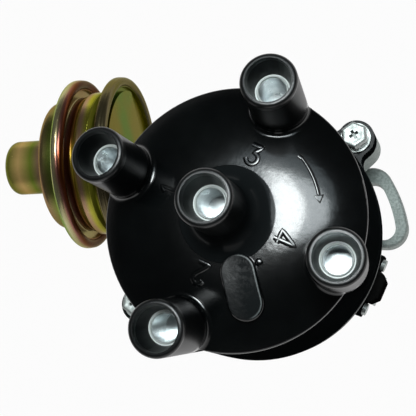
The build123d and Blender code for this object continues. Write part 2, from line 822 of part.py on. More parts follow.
claw_radius = reluctor_radius + air_gap
with BuildPart() as pickup_stator:
    with BuildSketch(Plane.XY.offset(magnet_top)):
        Circle(magnet_outer_radius)
        Circle(magnet_inner_radius, mode=Mode.SUBTRACT)
        for azimuth in pickup_screw_azimuths:
            with Locations(polar(pickup_screw_reach, azimuth)):
                Circle(small_screw_radius, mode=Mode.SUBTRACT)
    extrude(amount=stator_thickness)
    for azimuth in pole_azimuths:
        with BuildSketch(Plane.XY.offset(stator_top)):
            with Locations(polar((claw_radius + magnet_outer_radius) / 2, azimuth)):
                Rectangle(magnet_outer_radius - claw_radius, claw_width, rotation=azimuth)
            Circle(claw_radius, mode=Mode.SUBTRACT)
        extrude(amount=claw_thickness)
        with BuildSketch(Plane.XY.offset(stator_top)):
            with Locations(polar(claw_radius + claw_thickness / 2, azimuth)):
                Rectangle(claw_thickness, claw_width, rotation=azimuth)
            Circle(claw_radius, mode=Mode.SUBTRACT)
        extrude(amount=claw_height)
save(pickup_stator, "pickup_stator")

with BuildPart() as pickup_coil:
    with BuildSketch(Plane.XZ):
        with BuildLine():
            Polyline(
                (coil_inner_radius, advance_top),
                (magnet_inner_radius - face_gap, advance_top),
                (magnet_inner_radius - face_gap, advance_top + coil_flange),
                (magnet_inner_radius - 2 * coil_flange, advance_top + coil_flange),
                (magnet_inner_radius - 2 * coil_flange, advance_top + coil_height - coil_flange),
                (magnet_inner_radius - face_gap, advance_top + coil_height - coil_flange),
                (magnet_inner_radius - face_gap, advance_top + coil_height),
                (coil_inner_radius, advance_top + coil_height),
                close=True,
            )
        make_face()
    revolve(axis=Axis.Z)
save(pickup_coil, "pickup_coil")

with BuildPart() as coil_winding:
    with BuildSketch(Plane.XY.offset(advance_top + coil_flange)):
        Circle(magnet_inner_radius - face_gap - winding_inset)
        Circle(magnet_inner_radius - 2 * coil_flange, mode=Mode.SUBTRACT)
    extrude(amount=coil_height - 2 * coil_flange)
save(coil_winding, "coil_winding")

with BuildPart() as pickup_screws:
    for azimuth in pickup_screw_azimuths:
        with BuildSketch(Plane.XY.offset(stator_top)):
            with Locations(polar(pickup_screw_reach, azimuth)):
                Circle(small_head_radius)
        extrude(amount=small_head_height)
        with BuildSketch(Plane.XY.offset(stator_top)):
            with Locations(polar(pickup_screw_reach, azimuth)):
                Circle(small_screw_radius)
        extrude(amount=advance_bottom - stator_top)
        with BuildSketch(Plane.XY.offset(stator_top + small_head_height)):
            with Locations(polar(pickup_screw_reach, azimuth)):
                Rectangle(small_cross_length, small_cross_width)
                Rectangle(small_cross_width, small_cross_length)
        extrude(amount=-small_cross_depth, mode=Mode.SUBTRACT)
save(pickup_screws, "pickup_screws")

with BuildPart() as reluctor:
    with BuildSketch(Plane.XY.offset(claw_top - reluctor_height)):
        Circle(reluctor_hub_radius)
        for azimuth in pole_azimuths:
            with Locations(polar(reluctor_radius / 2, azimuth)):
                Rectangle(reluctor_radius, tooth_width, rotation=azimuth)
        Circle(reluctor_radius, mode=Mode.INTERSECT)
        Circle(sleeve_radius, mode=Mode.SUBTRACT)
    extrude(amount=reluctor_height)
save(reluctor, "reluctor")

# ---------------------------------------------------------------- rotor
rotor_azimuth = tower_azimuths[0]
with BuildPart() as rotor:
    with BuildSketch(Plane.XY.offset(rotor_height)):
        Circle(rotor_hub_radius)
    extrude(amount=rotor_top - rotor_height)
    with BuildSketch(Plane.XY.offset(sleeve_top)):
        Circle(rotor_disc_radius)
    extrude(amount=rotor_disc_thickness)
    with BuildSketch(Plane.XY.rotated((0, 0, rotor_azimuth)).offset(sleeve_top)):
        with Locations((rotor_arm_reach / 2, 0)):
            SlotOverall(rotor_arm_reach + rotor_arm_width, rotor_arm_width)
        with Locations((rotor_arm_reach + rotor_arm_width / 2, 0)):
            Rectangle(rotor_arm_width, rotor_arm_width, mode=Mode.SUBTRACT)
    extrude(amount=rotor_arm_thickness)
    with BuildSketch(Plane.XY.offset(rotor_height)):
        Circle(sleeve_radius)
    extrude(amount=sleeve_top - rotor_height, mode=Mode.SUBTRACT)
save(rotor, "rotor")

with BuildPart() as rotor_blade:
    with BuildSketch(Plane.XY.rotated((0, 0, rotor_azimuth)).offset(rotor_top)):
        with Locations((blade_reach / 2, 0)):
            Rectangle(blade_reach, blade_width)
        Circle(contact_radius)
        Circle(blade_reach, mode=Mode.INTERSECT)
    extrude(amount=blade_thickness)
    with BuildSketch(Plane.XY.offset(blade_top)):
        Circle(contact_radius)
    extrude(amount=contact_height)
    fillet(rotor_blade.faces().sort_by(Axis.Z)[-1].edges(), contact_round)
save(rotor_blade, "rotor_blade")

# ---------------------------------------------------------------- distributor cap
def tower_frame(azimuth):
    """Mouth centre, axis and section plane of one plug tower."""
    radial = Vector(*polar(1, azimuth), 0)
    up = Vector(0, 0, 1)
    axis = radial * sin(radians(tower_splay)) + up * cos(radians(tower_splay))
    side = radial * cos(radians(tower_splay)) - up * sin(radians(tower_splay))
    mouth = radial * tower_mouth_reach + up * tower_mouth_height
    return mouth, axis, Plane(origin=mouth, x_dir=side, z_dir=side.cross(axis))


centre_frame = (
    Vector(0, 0, centre_mouth_height),
    Vector(0, 0, 1),
    Plane(origin=(0, 0, centre_mouth_height), x_dir=(1, 0, 0), z_dir=(0, -1, 0)),
)
tower_frames = [tower_frame(azimuth) for azimuth in tower_azimuths]
stem_length = (tower_mouth_height - stem_tip_height) / cos(radians(tower_splay))
boss_length = (tower_mouth_height - stem_boss_height) / cos(radians(tower_splay))


def dome_arc(lift):
    """Dome's section from the shoulder to the hub, lifted along Z."""
    return ThreePointArc(
        (cap_outer_radius, shoulder_height + lift),
        (
            (cap_outer_radius + hub_radius) / 2,
            shoulder_height + dome_rise / 2 + dome_bulge + lift,
        ),
        (hub_radius, dome_height + lift),
    )


with BuildPart() as raised_boss:
    with BuildSketch(Plane.XY.rotated((0, 0, boss_azimuth)).offset(rim_height)):
        with Locations(((boss_start + boss_end) / 2, 0)):
            SlotOverall(boss_end - boss_start, boss_width)
    extrude(amount=dome_height)
    with BuildSketch(Plane.XZ):
        with BuildLine():
            top = dome_arc(boss_rise)
            Polyline(
                top @ 1,
                (0, dome_height + boss_rise),
                (0, rim_height),
                (cap_outer_radius, rim_height),
                top @ 0,
            )
        make_face()
    revolve(axis=Axis.Z, mode=Mode.INTERSECT)
    fillet(raised_boss.faces().sort_by(Axis.Z)[-1].outer_wire().edges(), boss_round)

with BuildPart() as cap:
    with BuildSketch(Plane.XZ):
        with BuildLine():
            dome = dome_arc(0)
            flare = ThreePointArc(
                dome @ 1,
                (
                    tower_radius + (hub_radius - tower_radius) * hub_flare_share,
                    dome_height + hub_flare_height * hub_flare_share,
                ),
                (tower_radius, dome_height + hub_flare_height),
            )
            Polyline(
                flare @ 1,
                (tower_radius, centre_mouth_height),
                (0, centre_mouth_height),
                (0, rim_height),
                (cap_foot_radius, rim_height),
                dome @ 0,
            )
        make_face()
        fillet(vertices().sort_by(Axis((0, 0, 0), (1, 2, 0)))[-1], tower_lip_round)
        fillet(vertices().sort_by_distance((cap_outer_radius, shoulder_height))[0], shoulder_round)
    revolve(axis=Axis.Z)
    # Screw ears at the foot of the skirt
    with BuildSketch(Plane.XY.offset(rim_height)):
        Circle(cap_foot_radius)
        for azimuth in cap_ear_azimuths:
            with Locations(polar(cap_ear_reach, azimuth)):
                Circle(cap_ear_radius)
        ear_joints = []
        for vertex in vertices():
            on_skirt = abs(hypot(vertex.X, vertex.Y) - cap_foot_radius) < 0.01
            for azimuth in cap_ear_azimuths:
                x, y = polar(cap_ear_reach, azimuth)
                if on_skirt and abs(hypot(vertex.X - x, vertex.Y - y) - cap_ear_radius) < 0.01:
                    ear_joints.append(vertex)
        fillet(ear_joints, cap_ear_round)
    extrude(amount=cap_ear_height)
    # Plug towers
    for mouth, axis, section in tower_frames:
        with BuildSketch(section):
            with BuildLine():
                Polyline(
                    (0, 0),
                    (tower_radius, 0),
                    (tower_radius, -tower_length),
                    (0, -tower_length),
                    close=True,
                )
            make_face()
            fillet(vertices().sort_by(Axis((0, 0, 0), (1, 1, 0)))[-1], tower_lip_round)
        revolve(axis=Axis(mouth, axis))
    add(raised_boss.part)
    # Hollow inside
    with BuildSketch(Plane.XZ):
        with BuildLine():
            Polyline(
                (0, 0),
                (cap_inner_radius, 0),
                (cap_inner_radius, shoulder_height - cap_roof),
                (hub_radius, dome_height - cap_roof),
                (0, dome_height - cap_roof),
                close=True,
            )
        make_face()
        fillet([v for v in vertices() if v.Y > 0 and v.X > hub_radius], cap_inner_round)
    revolve(axis=Axis.Z, mode=Mode.SUBTRACT)
    # Bosses inside, round the stems and the carbon brush
    for mouth, axis, section in tower_frames:
        with BuildSketch(section):
            with BuildLine():
                Polyline(
                    (0, -terminal_foot),
                    (stem_boss_radius, -terminal_foot),
                    (stem_boss_radius, -boss_length),
                    (0, -boss_length),
                    close=True,
                )
            make_face()
        revolve(axis=Axis(mouth, axis))
    with BuildSketch(Plane.XY.offset(brush_boss_height)):
        Circle(brush_boss_radius)
    extrude(amount=dome_height - brush_boss_height)
    # Sockets for the leads' terminals
    for (mouth, axis, section), depth in zip(
        tower_frames + [centre_frame],
        [stem_length] * len(tower_frames) + [centre_mouth_height - brush_boss_height],
    ):
        with BuildSketch(section):
            with BuildLine():
                Polyline(
                    (0, 0),
                    (mouth_radius, 0),
                    (terminal_radius, -mouth_depth),
                    (terminal_radius, -terminal_foot),
                    (stem_radius, -terminal_foot),
                    (stem_radius, -depth),
                    (0, -depth),
                    close=True,
                )
            make_face()
        revolve(axis=Axis(mouth, axis), mode=Mode.SUBTRACT)
    # Screw holes, spot-faced into the skirt for the washers
    with BuildSketch(Plane.XY.offset(rim_height)):
        for azimuth in cap_ear_azimuths:
            with Locations(polar(cap_ear_reach, azimuth)):
                Circle(cap_screw_radius)
    extrude(amount=cap_ear_height, mode=Mode.SUBTRACT)
    with BuildSketch(Plane.XY.offset(cap_ear_top)):
        for azimuth in cap_ear_azimuths:
            with Locations(polar(cap_ear_reach, azimuth)):
                Circle(cap_washer_radius + face_gap)
    extrude(amount=spot_face_height, mode=Mode.SUBTRACT)
save(cap, "cap")

cap_seal = ring(
    seal_radius + seal_width / 2,
    seal_radius - seal_width / 2,
    rim_height - seal_height,
    seal_height,
)
save(cap_seal, "cap_seal")

for number, (mouth, axis, section) in zip((1, 3, 4, 2), tower_frames):
    with BuildPart() as terminal:
        with BuildSketch(section):
            with BuildLine():
                Polyline(
                    (0, -mouth_depth - terminal_bore_depth),
                    (terminal_bore_radius, -mouth_depth - terminal_bore_depth),
                    (terminal_bore_radius, -mouth_depth),
                    (terminal_radius, -mouth_depth),
                    (terminal_radius, -terminal_foot),
                    (stem_radius, -terminal_foot),
                    (stem_radius, -stem_length),
                    (0, -stem_length),
                    close=True,
                )
            make_face()
        revolve(axis=Axis(mouth, axis))
    save(terminal, f"plug_terminal_{number}")

with BuildPart() as coil_terminal:
    with BuildSketch(centre_frame[2]):
        with BuildLine():
            Polyline(
                (0, -mouth_depth - terminal_bore_depth),
                (terminal_bore_radius, -mouth_depth - terminal_bore_depth),
                (terminal_bore_radius, -mouth_depth),
                (terminal_radius, -mouth_depth),
                (terminal_radius, -terminal_foot),
                (0, -terminal_foot),
                close=True,
            )
        make_face()
    revolve(axis=Axis.Z)
save(coil_terminal, "coil_terminal")

with BuildPart() as carbon_brush:
    with BuildSketch(Plane.XY.offset(brush_tip_height)):
        Circle(stem_radius - running_gap)
    extrude(amount=brush_length)
    fillet(carbon_brush.faces().sort_by(Axis.Z)[0].edges(), brush_round)
save(carbon_brush, "carbon_brush")

brush_spring_length = brush_spring_top - brush_top
with BuildPart() as brush_spring:
    with BuildLine():
        wire = Helix(
            pitch=(brush_spring_length - 2 * brush_wire_radius) / brush_spring_turns,
            height=brush_spring_length - 2 * brush_wire_radius,
            radius=stem_radius - brush_wire_radius - brush_spring_slack,
            center=(0, 0, brush_top + brush_wire_radius),
        )
    with BuildSketch(Plane(origin=wire @ 0, z_dir=wire % 0)):
        RegularPolygon(brush_wire_radius, 6)
    sweep()
save(brush_spring, "brush_spring")

# ---------------------------------------------------------------- cap screws and washers
with BuildPart() as cap_screws:
    for azimuth in cap_ear_azimuths:
        x, y = polar(cap_ear_reach, azimuth)
        with BuildSketch(Plane.XY.offset(head_seat)):
            with Locations((x, y)):
                RegularPolygon(cap_screw_across_flats / 2, 6, major_radius=False)
        extrude(amount=cap_screw_head_height)
        with BuildSketch(Plane.XY.offset(head_seat + cap_screw_head_height)):
            with Locations((x, y)):
                Rectangle(cross_length, cross_width)
                Rectangle(cross_width, cross_length)
        extrude(amount=-cross_depth, mode=Mode.SUBTRACT)
        with BuildSketch(Plane.XY.offset(rim_height - cap_screw_grip)):
            with Locations((x, y)):
                Circle(cap_screw_radius)
        extrude(amount=head_seat - rim_height + cap_screw_grip)
save(cap_screws, "cap_screws")

with BuildPart() as cap_screw_washers:
    with BuildSketch(Plane.XY.offset(cap_ear_top)):
        for azimuth in cap_ear_azimuths:
            with Locations(polar(cap_ear_reach, azimuth)):
                Circle(cap_washer_radius)
                Circle(cap_screw_radius, mode=Mode.SUBTRACT)
    extrude(amount=cap_washer_thickness)
save(cap_screw_washers, "cap_screw_washers")

with BuildPart() as cap_spring_washers:
    with BuildSketch(Plane.XY.offset(washer_top)):
        for azimuth in cap_ear_azimuths:
            with Locations(polar(cap_ear_reach, azimuth)):
                Circle(spring_washer_radius)
                Circle(cap_screw_radius, mode=Mode.SUBTRACT)
            with Locations(polar(cap_ear_reach + spring_washer_radius, azimuth)):
                Rectangle(cap_washer_radius * 2, spring_washer_slit, rotation=azimuth, mode=Mode.SUBTRACT)
    extrude(amount=spring_washer_thickness)
save(cap_spring_washers, "cap_spring_washers")

# ---------------------------------------------------------------- vacuum unit
vacuum_axis = Axis((0, vacuum_side, vacuum_height), (1, 0, 0))
vacuum_section = Plane(origin=(0, vacuum_side, vacuum_height), x_dir=(1, 0, 0), z_dir=(0, -1, 0))
outer_rim_left = outer_rim_place - can_rim_thickness / 2
outer_rim_right = outer_rim_place + can_rim_thickness / 2
inner_rim_left = inner_rim_place - can_rim_thickness / 2
inner_rim_right = inner_rim_place + can_rim_thickness / 2
crimp_inner = can_rim_radius - crimp_depth
flange_edge = can_rim_radius - can_sheet
inner_can_sheet = can_rim_thickness - 2 * can_sheet - diaphragm_thickness
nipple_middle = -(abs(outer_rim_right) + abs(inner_rim_left)) / 2

with BuildPart() as outer_can:
    with BuildSketch(vacuum_section):
        with BuildLine():
            FilletPolyline(
                (cup_end, 0),
                (cup_end, cup_radius),
                (shoulder_place, cup_radius),
                (shoulder_place, shoulder_radius),
                (shoulder_end, shoulder_radius),
                (outer_rim_left, shoulder_radius + shoulder_step),
                (outer_rim_left, can_rim_radius),
                (outer_rim_right, can_rim_radius),
                (outer_rim_right, crimp_inner),
                radius=can_rounds,
            )
            Polyline(
                (outer_rim_right, crimp_inner),
                (outer_rim_right - can_sheet, crimp_inner),
                (outer_rim_right - can_sheet, flange_edge),
                (outer_rim_left + can_sheet, flange_edge),
                (outer_rim_left + can_sheet, shoulder_radius + shoulder_step - can_sheet / 2),
                (shoulder_end + can_sheet / 2, shoulder_radius - can_sheet),
                (shoulder_place + can_sheet, shoulder_radius - can_sheet),
                (shoulder_place + can_sheet, cup_radius - can_sheet),
                (cup_end + 2 * can_sheet, cup_radius - can_sheet),
                (cup_end + can_sheet, cup_radius - 3 * can_sheet),
                (cup_end + can_sheet, 0),
                (cup_end, 0),
            )
        make_face()
    revolve(axis=vacuum_axis)
    with BuildSketch(Plane.XY.offset(vacuum_height - shoulder_radius - can_sheet)):
        with Locations((outer_nipple_place, vacuum_side)):
            Circle(nipple_radius)
    extrude(amount=3 * can_sheet, mode=Mode.SUBTRACT)
save(outer_can, "vacuum_outer_can")

spool_left = outer_rim_left + can_sheet + diaphragm_thickness
rib_left = nipple_middle - spool_rib_width / 2
rib_right = nipple_middle + spool_rib_width / 2
with BuildPart() as spool_can:
    with BuildSketch(vacuum_section):
        with BuildLine():
            FilletPolyline(
                (spool_left, flange_edge),
                (outer_rim_right - can_sheet, flange_edge),
                (outer_rim_right - can_sheet, spool_radius),
                (rib_left - spool_rib_slope, spool_radius),
                (rib_left, spool_rib_radius),
                (rib_right, spool_rib_radius),
                (rib_right + spool_rib_slope, spool_radius),
                (inner_rim_left, spool_radius),
                (inner_rim_left, can_rim_radius),
                (inner_rim_right, can_rim_radius),
                (inner_rim_right, crimp_inner),
                radius=spool_rounds,
            )
            Polyline(
                (inner_rim_right, crimp_inner),
                (inner_rim_right - can_sheet, crimp_inner),
                (inner_rim_right - can_sheet, flange_edge),
                (inner_rim_left + can_sheet, flange_edge),
                (inner_rim_left + can_sheet, spool_radius - can_sheet),
                (spool_left, spool_radius - can_sheet),
                (spool_left, flange_edge),
            )
        make_face()
    revolve(axis=vacuum_axis)
    with BuildSketch(Plane.XY.offset(vacuum_height - spool_rib_radius - can_sheet)):
        with Locations((nipple_middle, vacuum_side)):
            Circle(nipple_radius)
    extrude(amount=4 * can_sheet, mode=Mode.SUBTRACT)
save(spool_can, "vacuum_spool_can")

inner_can_right = inner_rim_right - can_sheet
inner_can_left = inner_can_right - inner_can_sheet
with BuildPart() as inner_can:
    with BuildSketch(Plane.YZ.offset(inner_can_left)):
        with Locations((vacuum_side, vacuum_height)):
            Circle(flange_edge)
            Circle(rod_hole_radius, mode=Mode.SUBTRACT)
    extrude(amount=inner_can_sheet)
save(inner_can, "vacuum_inner_can")


def diaphragm(left, convolution):
    """Rubber disc with one rolled convolution, clamped at its edge and bored for the rod."""
    right = left + diaphragm_thickness
    with BuildPart() as disc:
        with BuildSketch(vacuum_section):
            with BuildLine():
                Polyline(
                    (left, rod_radius),
                    (left, convolution - roll_half),
                    (left + roll_rise, convolution - roll_crown),
                    (left + roll_rise, convolution + roll_crown),
                    (left, convolution + roll_half),
                    (left, flange_edge),
                    (right, flange_edge),
                    (right, convolution + roll_half + roll_wall),
                    (right + roll_rise, convolution + roll_crown + roll_wall),
                    (right + roll_rise, convolution - roll_crown - roll_wall),
                    (right, convolution - roll_half - roll_wall),
                    (right, rod_radius),
                    close=True,
                )
            make_face()
        revolve(axis=vacuum_axis)
    return disc


outer_diaphragm_left = outer_rim_left + can_sheet
inner_diaphragm_left = inner_rim_left + can_sheet
outer_diaphragm = diaphragm(outer_diaphragm_left, (diaphragm_plate_radius + spool_radius) / 2)
save(outer_diaphragm, "outer_diaphragm")
with BuildPart() as inner_diaphragm:
    with BuildSketch(Plane.YZ.offset(inner_diaphragm_left)):
        with Locations((vacuum_side, vacuum_height)):
            Circle(flange_edge)
            Circle(rod_radius, mode=Mode.SUBTRACT)
    extrude(amount=diaphragm_thickness)
save(inner_diaphragm, "inner_diaphragm")

with BuildPart() as diaphragm_plates:
    for left in (outer_diaphragm_left - can_sheet, outer_diaphragm_left + diaphragm_thickness):
        with BuildSketch(Plane.YZ.offset(left)):
            with Locations((vacuum_side, vacuum_height)):
                Circle(diaphragm_plate_radius)
                Circle(rod_radius, mode=Mode.SUBTRACT)
        extrude(amount=can_sheet)
save(diaphragm_plates, "diaphragm_plates")

rod_end = outer_diaphragm_left - can_sheet
arm_pin_x, arm_pin_y = polar(arm_pin_reach, arm_pin_azimuth)
eye_y = (arm_pin_y + arm_pin_reach) / 2
with BuildPart() as vacuum_rod:
    with BuildSketch(Plane.YZ.offset(rod_end)):
        with Locations((vacuum_side, vacuum_height)):
            Circle(rod_radius)
    extrude(amount=rod_strip_end - rod_end)
    with BuildSketch(Plane.XY.offset(vacuum_height - rod_strip_thickness / 2)):
        with Locations(((rod_strip_end + arm_pin_x) / 2, eye_y)):
            Rectangle(arm_pin_x - rod_strip_end, rod_strip_width)
        with Locations((arm_pin_x, eye_y)):
            Circle(rod_eye_radius)
            Circle(arm_pin_radius + arm_pin_slack, mode=Mode.SUBTRACT)
    extrude(amount=rod_strip_thickness)
save(vacuum_rod, "vacuum_rod")

spring_length = rod_end - cup_end - can_sheet - 2 * vacuum_spring_wire_radius
with BuildPart() as vacuum_spring:
    with BuildLine():
        wire = Helix(
            pitch=spring_length / vacuum_spring_turns,
            height=spring_length,
            radius=vacuum_spring_radius,
            center=(cup_end + can_sheet + vacuum_spring_wire_radius, vacuum_side, vacuum_height),
            direction=(1, 0, 0),
        )
    with BuildSketch(Plane(origin=wire @ 0, z_dir=wire % 0)):
        RegularPolygon(vacuum_spring_wire_radius, 6)
    sweep()
save(vacuum_spring, "vacuum_spring")

with BuildPart() as vacuum_nipples:
    for place, can_radius in (
        (outer_nipple_place, shoulder_radius),
        (nipple_middle, spool_rib_radius),
    ):
        seat = (place, vacuum_side, vacuum_height - can_radius)
        with BuildSketch(Plane(origin=seat, x_dir=(1, 0, 0), z_dir=(0, -1, 0))):
            with BuildLine():
                Polyline(
                    (nipple_bore_radius, can_sheet),
                    (nipple_radius, can_sheet),
                    (nipple_radius, 0),
                    (nipple_collar_radius, 0),
                    (nipple_collar_radius, -nipple_collar_length),
                    (nipple_radius, -nipple_collar_length),
                    (nipple_radius, nipple_taper - nipple_length),
                    (nipple_radius - nipple_tip_round, -nipple_length),
                    (nipple_bore_radius, -nipple_length),
                    close=True,
                )
            make_face()
        revolve(axis=Axis((place, vacuum_side, 0), (0, 0, 1)))
save(vacuum_nipples, "vacuum_nipples")

bracket_left = inner_can_right
bracket_right = bracket_left + bracket_thickness
with BuildPart() as vacuum_bracket:
    with BuildSketch(Plane.YZ.offset(bracket_left)):
        with Locations((vacuum_side, vacuum_height)):
            Circle(bracket_radius)
            Circle(rod_hole_radius, mode=Mode.SUBTRACT)
        cut_side = 2 * bracket_radius
        cut_x, cut_y = polar(bracket_cut_reach + bracket_radius, bracket_cut_angle)
        with Locations((vacuum_side + cut_x, vacuum_height + cut_y)):
            Rectangle(cut_side, cut_side, rotation=bracket_cut_angle, mode=Mode.SUBTRACT)
    extrude(amount=bracket_thickness)
    with BuildSketch(Plane.XY.offset(foot_height)):
        with Locations(((bracket_left + foot_end) / 2, vacuum_side)):
            Rectangle(foot_end - bracket_left, foot_width)
        with Locations((vacuum_screw_place, vacuum_side)):
            with GridLocations(1, vacuum_screw_spacing, 1, 2):
                Circle(vacuum_screw_radius, mode=Mode.SUBTRACT)
    extrude(amount=bracket_thickness)
save(vacuum_bracket, "vacuum_bracket")

with BuildPart() as vacuum_screws:
    for side in (-1, 1):
        x, y = vacuum_screw_place, vacuum_side + side * vacuum_screw_spacing / 2
        with BuildSketch(Plane.XY.offset(foot_height + bracket_thickness)):
            with Locations((x, y)):
                Circle(vacuum_screw_head_radius)
        extrude(amount=vacuum_screw_head_height)
        with BuildSketch(Plane.XY.offset(foot_height + bracket_thickness)):
            with Locations((x, y)):
                Circle(vacuum_screw_radius)
        extrude(amount=-vacuum_screw_length)
        with BuildSketch(Plane.XY.offset(foot_height + bracket_thickness + vacuum_screw_head_height)):
            with Locations((x, y)):
                Rectangle(cross_length, cross_width)
                Rectangle(cross_width, cross_length)
        extrude(amount=-cross_depth, mode=Mode.SUBTRACT)
save(vacuum_screws, "vacuum_screws")

# ---------------------------------------------------------------- connector block
nose_length = connector_nose_reach - connector_seat
nose_root = connector_middle_height - connector_nose_height / 2
nose_plane = Plane(
    origin=(*polar(connector_seat, connector_azimuth), nose_root),
    x_dir=connector_plane.z_dir,
    z_dir=(0, 0, 1),
)
with BuildPart() as connector_block:
    with BuildSketch(connector_plane):
        RectangleRounded(connector_plate_width, connector_plate_height, connector_plate_round)
    extrude(amount=connector_plate_thickness)
    with BuildSketch(nose_plane):
        with BuildLine():
            side = connector_nose_width / 2
            Polyline(
                (0, -side),
                (nose_length - connector_nose_bevel, -side),
                (nose_length, -side + connector_nose_bevel),
                (nose_length, side - connector_nose_bevel),
                (nose_length - connector_nose_bevel, side),
                (0, side),
                close=True,
            )
        make_face()
        fillet([v for v in vertices() if v.X > connector_plate_thickness], connector_nose_round)
    extrude(amount=connector_nose_height)
    nose_top = connector_block.faces().filter_by(Axis.Z).filter_by(
        lambda f: abs(f.center().Z - nose_root - connector_nose_height) < face_gap
    )[0]
    fillet(
        nose_top.edges().filter_by(
            lambda e: (e.center() - connector_plane.origin).dot(connector_plane.z_dir)
            > connector_plate_thickness + face_gap
        ),
        connector_nose_round,
    )
    with BuildSketch(connector_plane):
        with GridLocations(connector_screw_spacing, 1, 2, 1):
            Circle(small_screw_radius)
    extrude(amount=connector_plate_thickness, mode=Mode.SUBTRACT)
save(connector_block, "connector_block")

with BuildPart() as connector_screws:
    with BuildSketch(connector_plane.offset(connector_plate_thickness)):
        with GridLocations(connector_screw_spacing, 1, 2, 1):
            Circle(connector_head_radius)
    extrude(amount=connector_head_height)
    with BuildSketch(connector_plane.offset(connector_plate_thickness)):
        with GridLocations(connector_screw_spacing, 1, 2, 1):
            Circle(small_screw_radius)
    extrude(amount=-connector_screw_length)
save(connector_screws, "connector_screws")

tab_plane = Plane(
    origin=(*polar(connector_seat + nose_length / 2, connector_azimuth), nose_root),
    x_dir=connector_plane.x_dir,
    z_dir=(0, 0, 1),
)
with BuildPart() as connector_tabs:
    with BuildSketch(tab_plane):
        with GridLocations(tab_spacing, 1, 2, 1):
            Rectangle(tab_width, tab_thickness)
    extrude(amount=-tab_length)
save(connector_tabs, "connector_tabs")
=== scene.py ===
import math

import bpy
from mathutils import Matrix, Vector


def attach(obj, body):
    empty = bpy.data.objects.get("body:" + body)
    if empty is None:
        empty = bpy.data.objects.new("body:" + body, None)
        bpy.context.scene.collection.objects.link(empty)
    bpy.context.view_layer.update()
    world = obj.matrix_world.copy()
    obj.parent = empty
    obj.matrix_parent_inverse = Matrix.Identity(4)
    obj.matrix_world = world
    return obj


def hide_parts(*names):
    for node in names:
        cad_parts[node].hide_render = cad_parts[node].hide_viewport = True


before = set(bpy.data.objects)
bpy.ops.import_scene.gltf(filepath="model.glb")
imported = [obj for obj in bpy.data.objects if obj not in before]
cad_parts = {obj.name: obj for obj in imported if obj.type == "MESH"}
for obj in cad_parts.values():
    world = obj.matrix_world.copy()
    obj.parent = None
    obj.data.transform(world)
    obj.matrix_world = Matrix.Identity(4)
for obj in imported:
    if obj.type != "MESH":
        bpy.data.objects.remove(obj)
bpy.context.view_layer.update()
bpy.ops.object.select_all(action="DESELECT")

# ---- Camera, white table and studio lamps
# The part stands on its gear on a white table, under three soft boxes overhead. The table looks
# white to the camera and in polished metal, and keeps a soft shadow. In polished skins the room
# is dark, but for a glow low down and a pale card in front.
camera_data = bpy.data.cameras.new("studio_camera")
camera_data.lens = 97.15
camera_data.sensor_width = 36
camera = bpy.data.objects.new("studio_camera", camera_data)
bpy.context.collection.objects.link(camera)
camera.matrix_world = Matrix((
    (0.96639, 0.04603, 0.25293, 0.0811),
    (0.0, 0.98384, -0.17903, -0.0595),
    (-0.25708, 0.17301, 0.95077, 0.4036),
    (0, 0, 0, 1)))
bpy.context.scene.camera = camera


class Tone:
    """A socket of a finish. Sums on it add Math nodes, and node() adds any other node."""

    def __init__(self, socket):
        self.socket = socket
        self.tree = socket.id_data

    def node(self, kind, settings=None, output=0, **values):
        new = self.tree.nodes.new("ShaderNode" + kind)
        settings = dict(settings or {})
        stops = settings.pop("stops", None)
        for name, value in settings.items():
            setattr(new, name, value)
        if stops:
            ramp = new.color_ramp.elements
            ramp[0].position, ramp[0].color = stops[0][0], (*stops[0][1], 1)
            ramp[1].position, ramp[1].color = stops[-1][0], (*stops[-1][1], 1)
            for place, colour in stops[1:-1]:
                ramp.new(place).color = (*colour, 1)
        for name, value in values.items():
            socket = new.inputs[int(name[1:]) if name[0] == "_" else name.replace("_", " ")]
            if isinstance(value, Tone):
                self.tree.links.new(value.socket, socket)
            else:
                socket.default_value = value
        return Tone(new.outputs[output])

    def sum(self, operation, first, second=0.0, clamp=False):
        return self.node("Math", {"operation": operation, "use_clamp": clamp}, _0=first, _1=second)

    def __add__(self, other):
        return self.sum("ADD", self, other)

    def __radd__(self, other):
        return self.sum("ADD", other, self)

    def __sub__(self, other):
        return self.sum("SUBTRACT", self, other)

    def __rsub__(self, other):
        return self.sum("SUBTRACT", other, self)

    def __mul__(self, other):
        return self.sum("MULTIPLY", self, other)

    def __rmul__(self, other):
        return self.sum("MULTIPLY", other, self)

    def __truediv__(self, other):
        return self.sum("DIVIDE", self, other)

    def axis(self, number):
        return self.node("SeparateXYZ", None, number, Vector=self)

    def limited(self):
        return self.sum("ADD", self, 0.0, clamp=True)

    def between(self, low, high):
        """0 below low and 1 above high, smooth between them."""
        return self.node("MapRange", {"interpolation_type": "SMOOTHSTEP"},
                         Value=self, From_Min=low, From_Max=high)

    def blend(self, first, second):
        """The first colour where this is 0, the second where it is 1."""
        first = first if isinstance(first, Tone) else (*first, 1)
        second = second if isinstance(second, Tone) else (*second, 1)
        return self.node("Mix", {"data_type": "RGBA"}, 2, _0=self, _6=first, _7=second)


def finish(name, **fixed):
    """A new finish with its even values set, and the place on the part for its patterns."""
    material = bpy.data.materials.new(name)
    material.use_nodes = True
    shader = material.node_tree.nodes["Principled BSDF"]
    for socket, value in fixed.items():
        shader.inputs[socket.replace("_", " ")].default_value = value
    return material, Tone(material.node_tree.nodes.new("ShaderNodeTexCoord").outputs["Object"])


def lay(material, relief=None, depth=0.0001, **tones):
    """Puts the uneven values on a finish; relief is its height pattern, up to depth metres."""
    shader = material.node_tree.nodes["Principled BSDF"]
    for socket, tone in tones.items():
        material.node_tree.links.new(tone.socket, shader.inputs[socket.replace("_", " ")])
    if relief:
        bump = relief.node("Bump", None, 0, Height=relief, Distance=depth)
        material.node_tree.links.new(bump.socket, shader.inputs["Normal"])


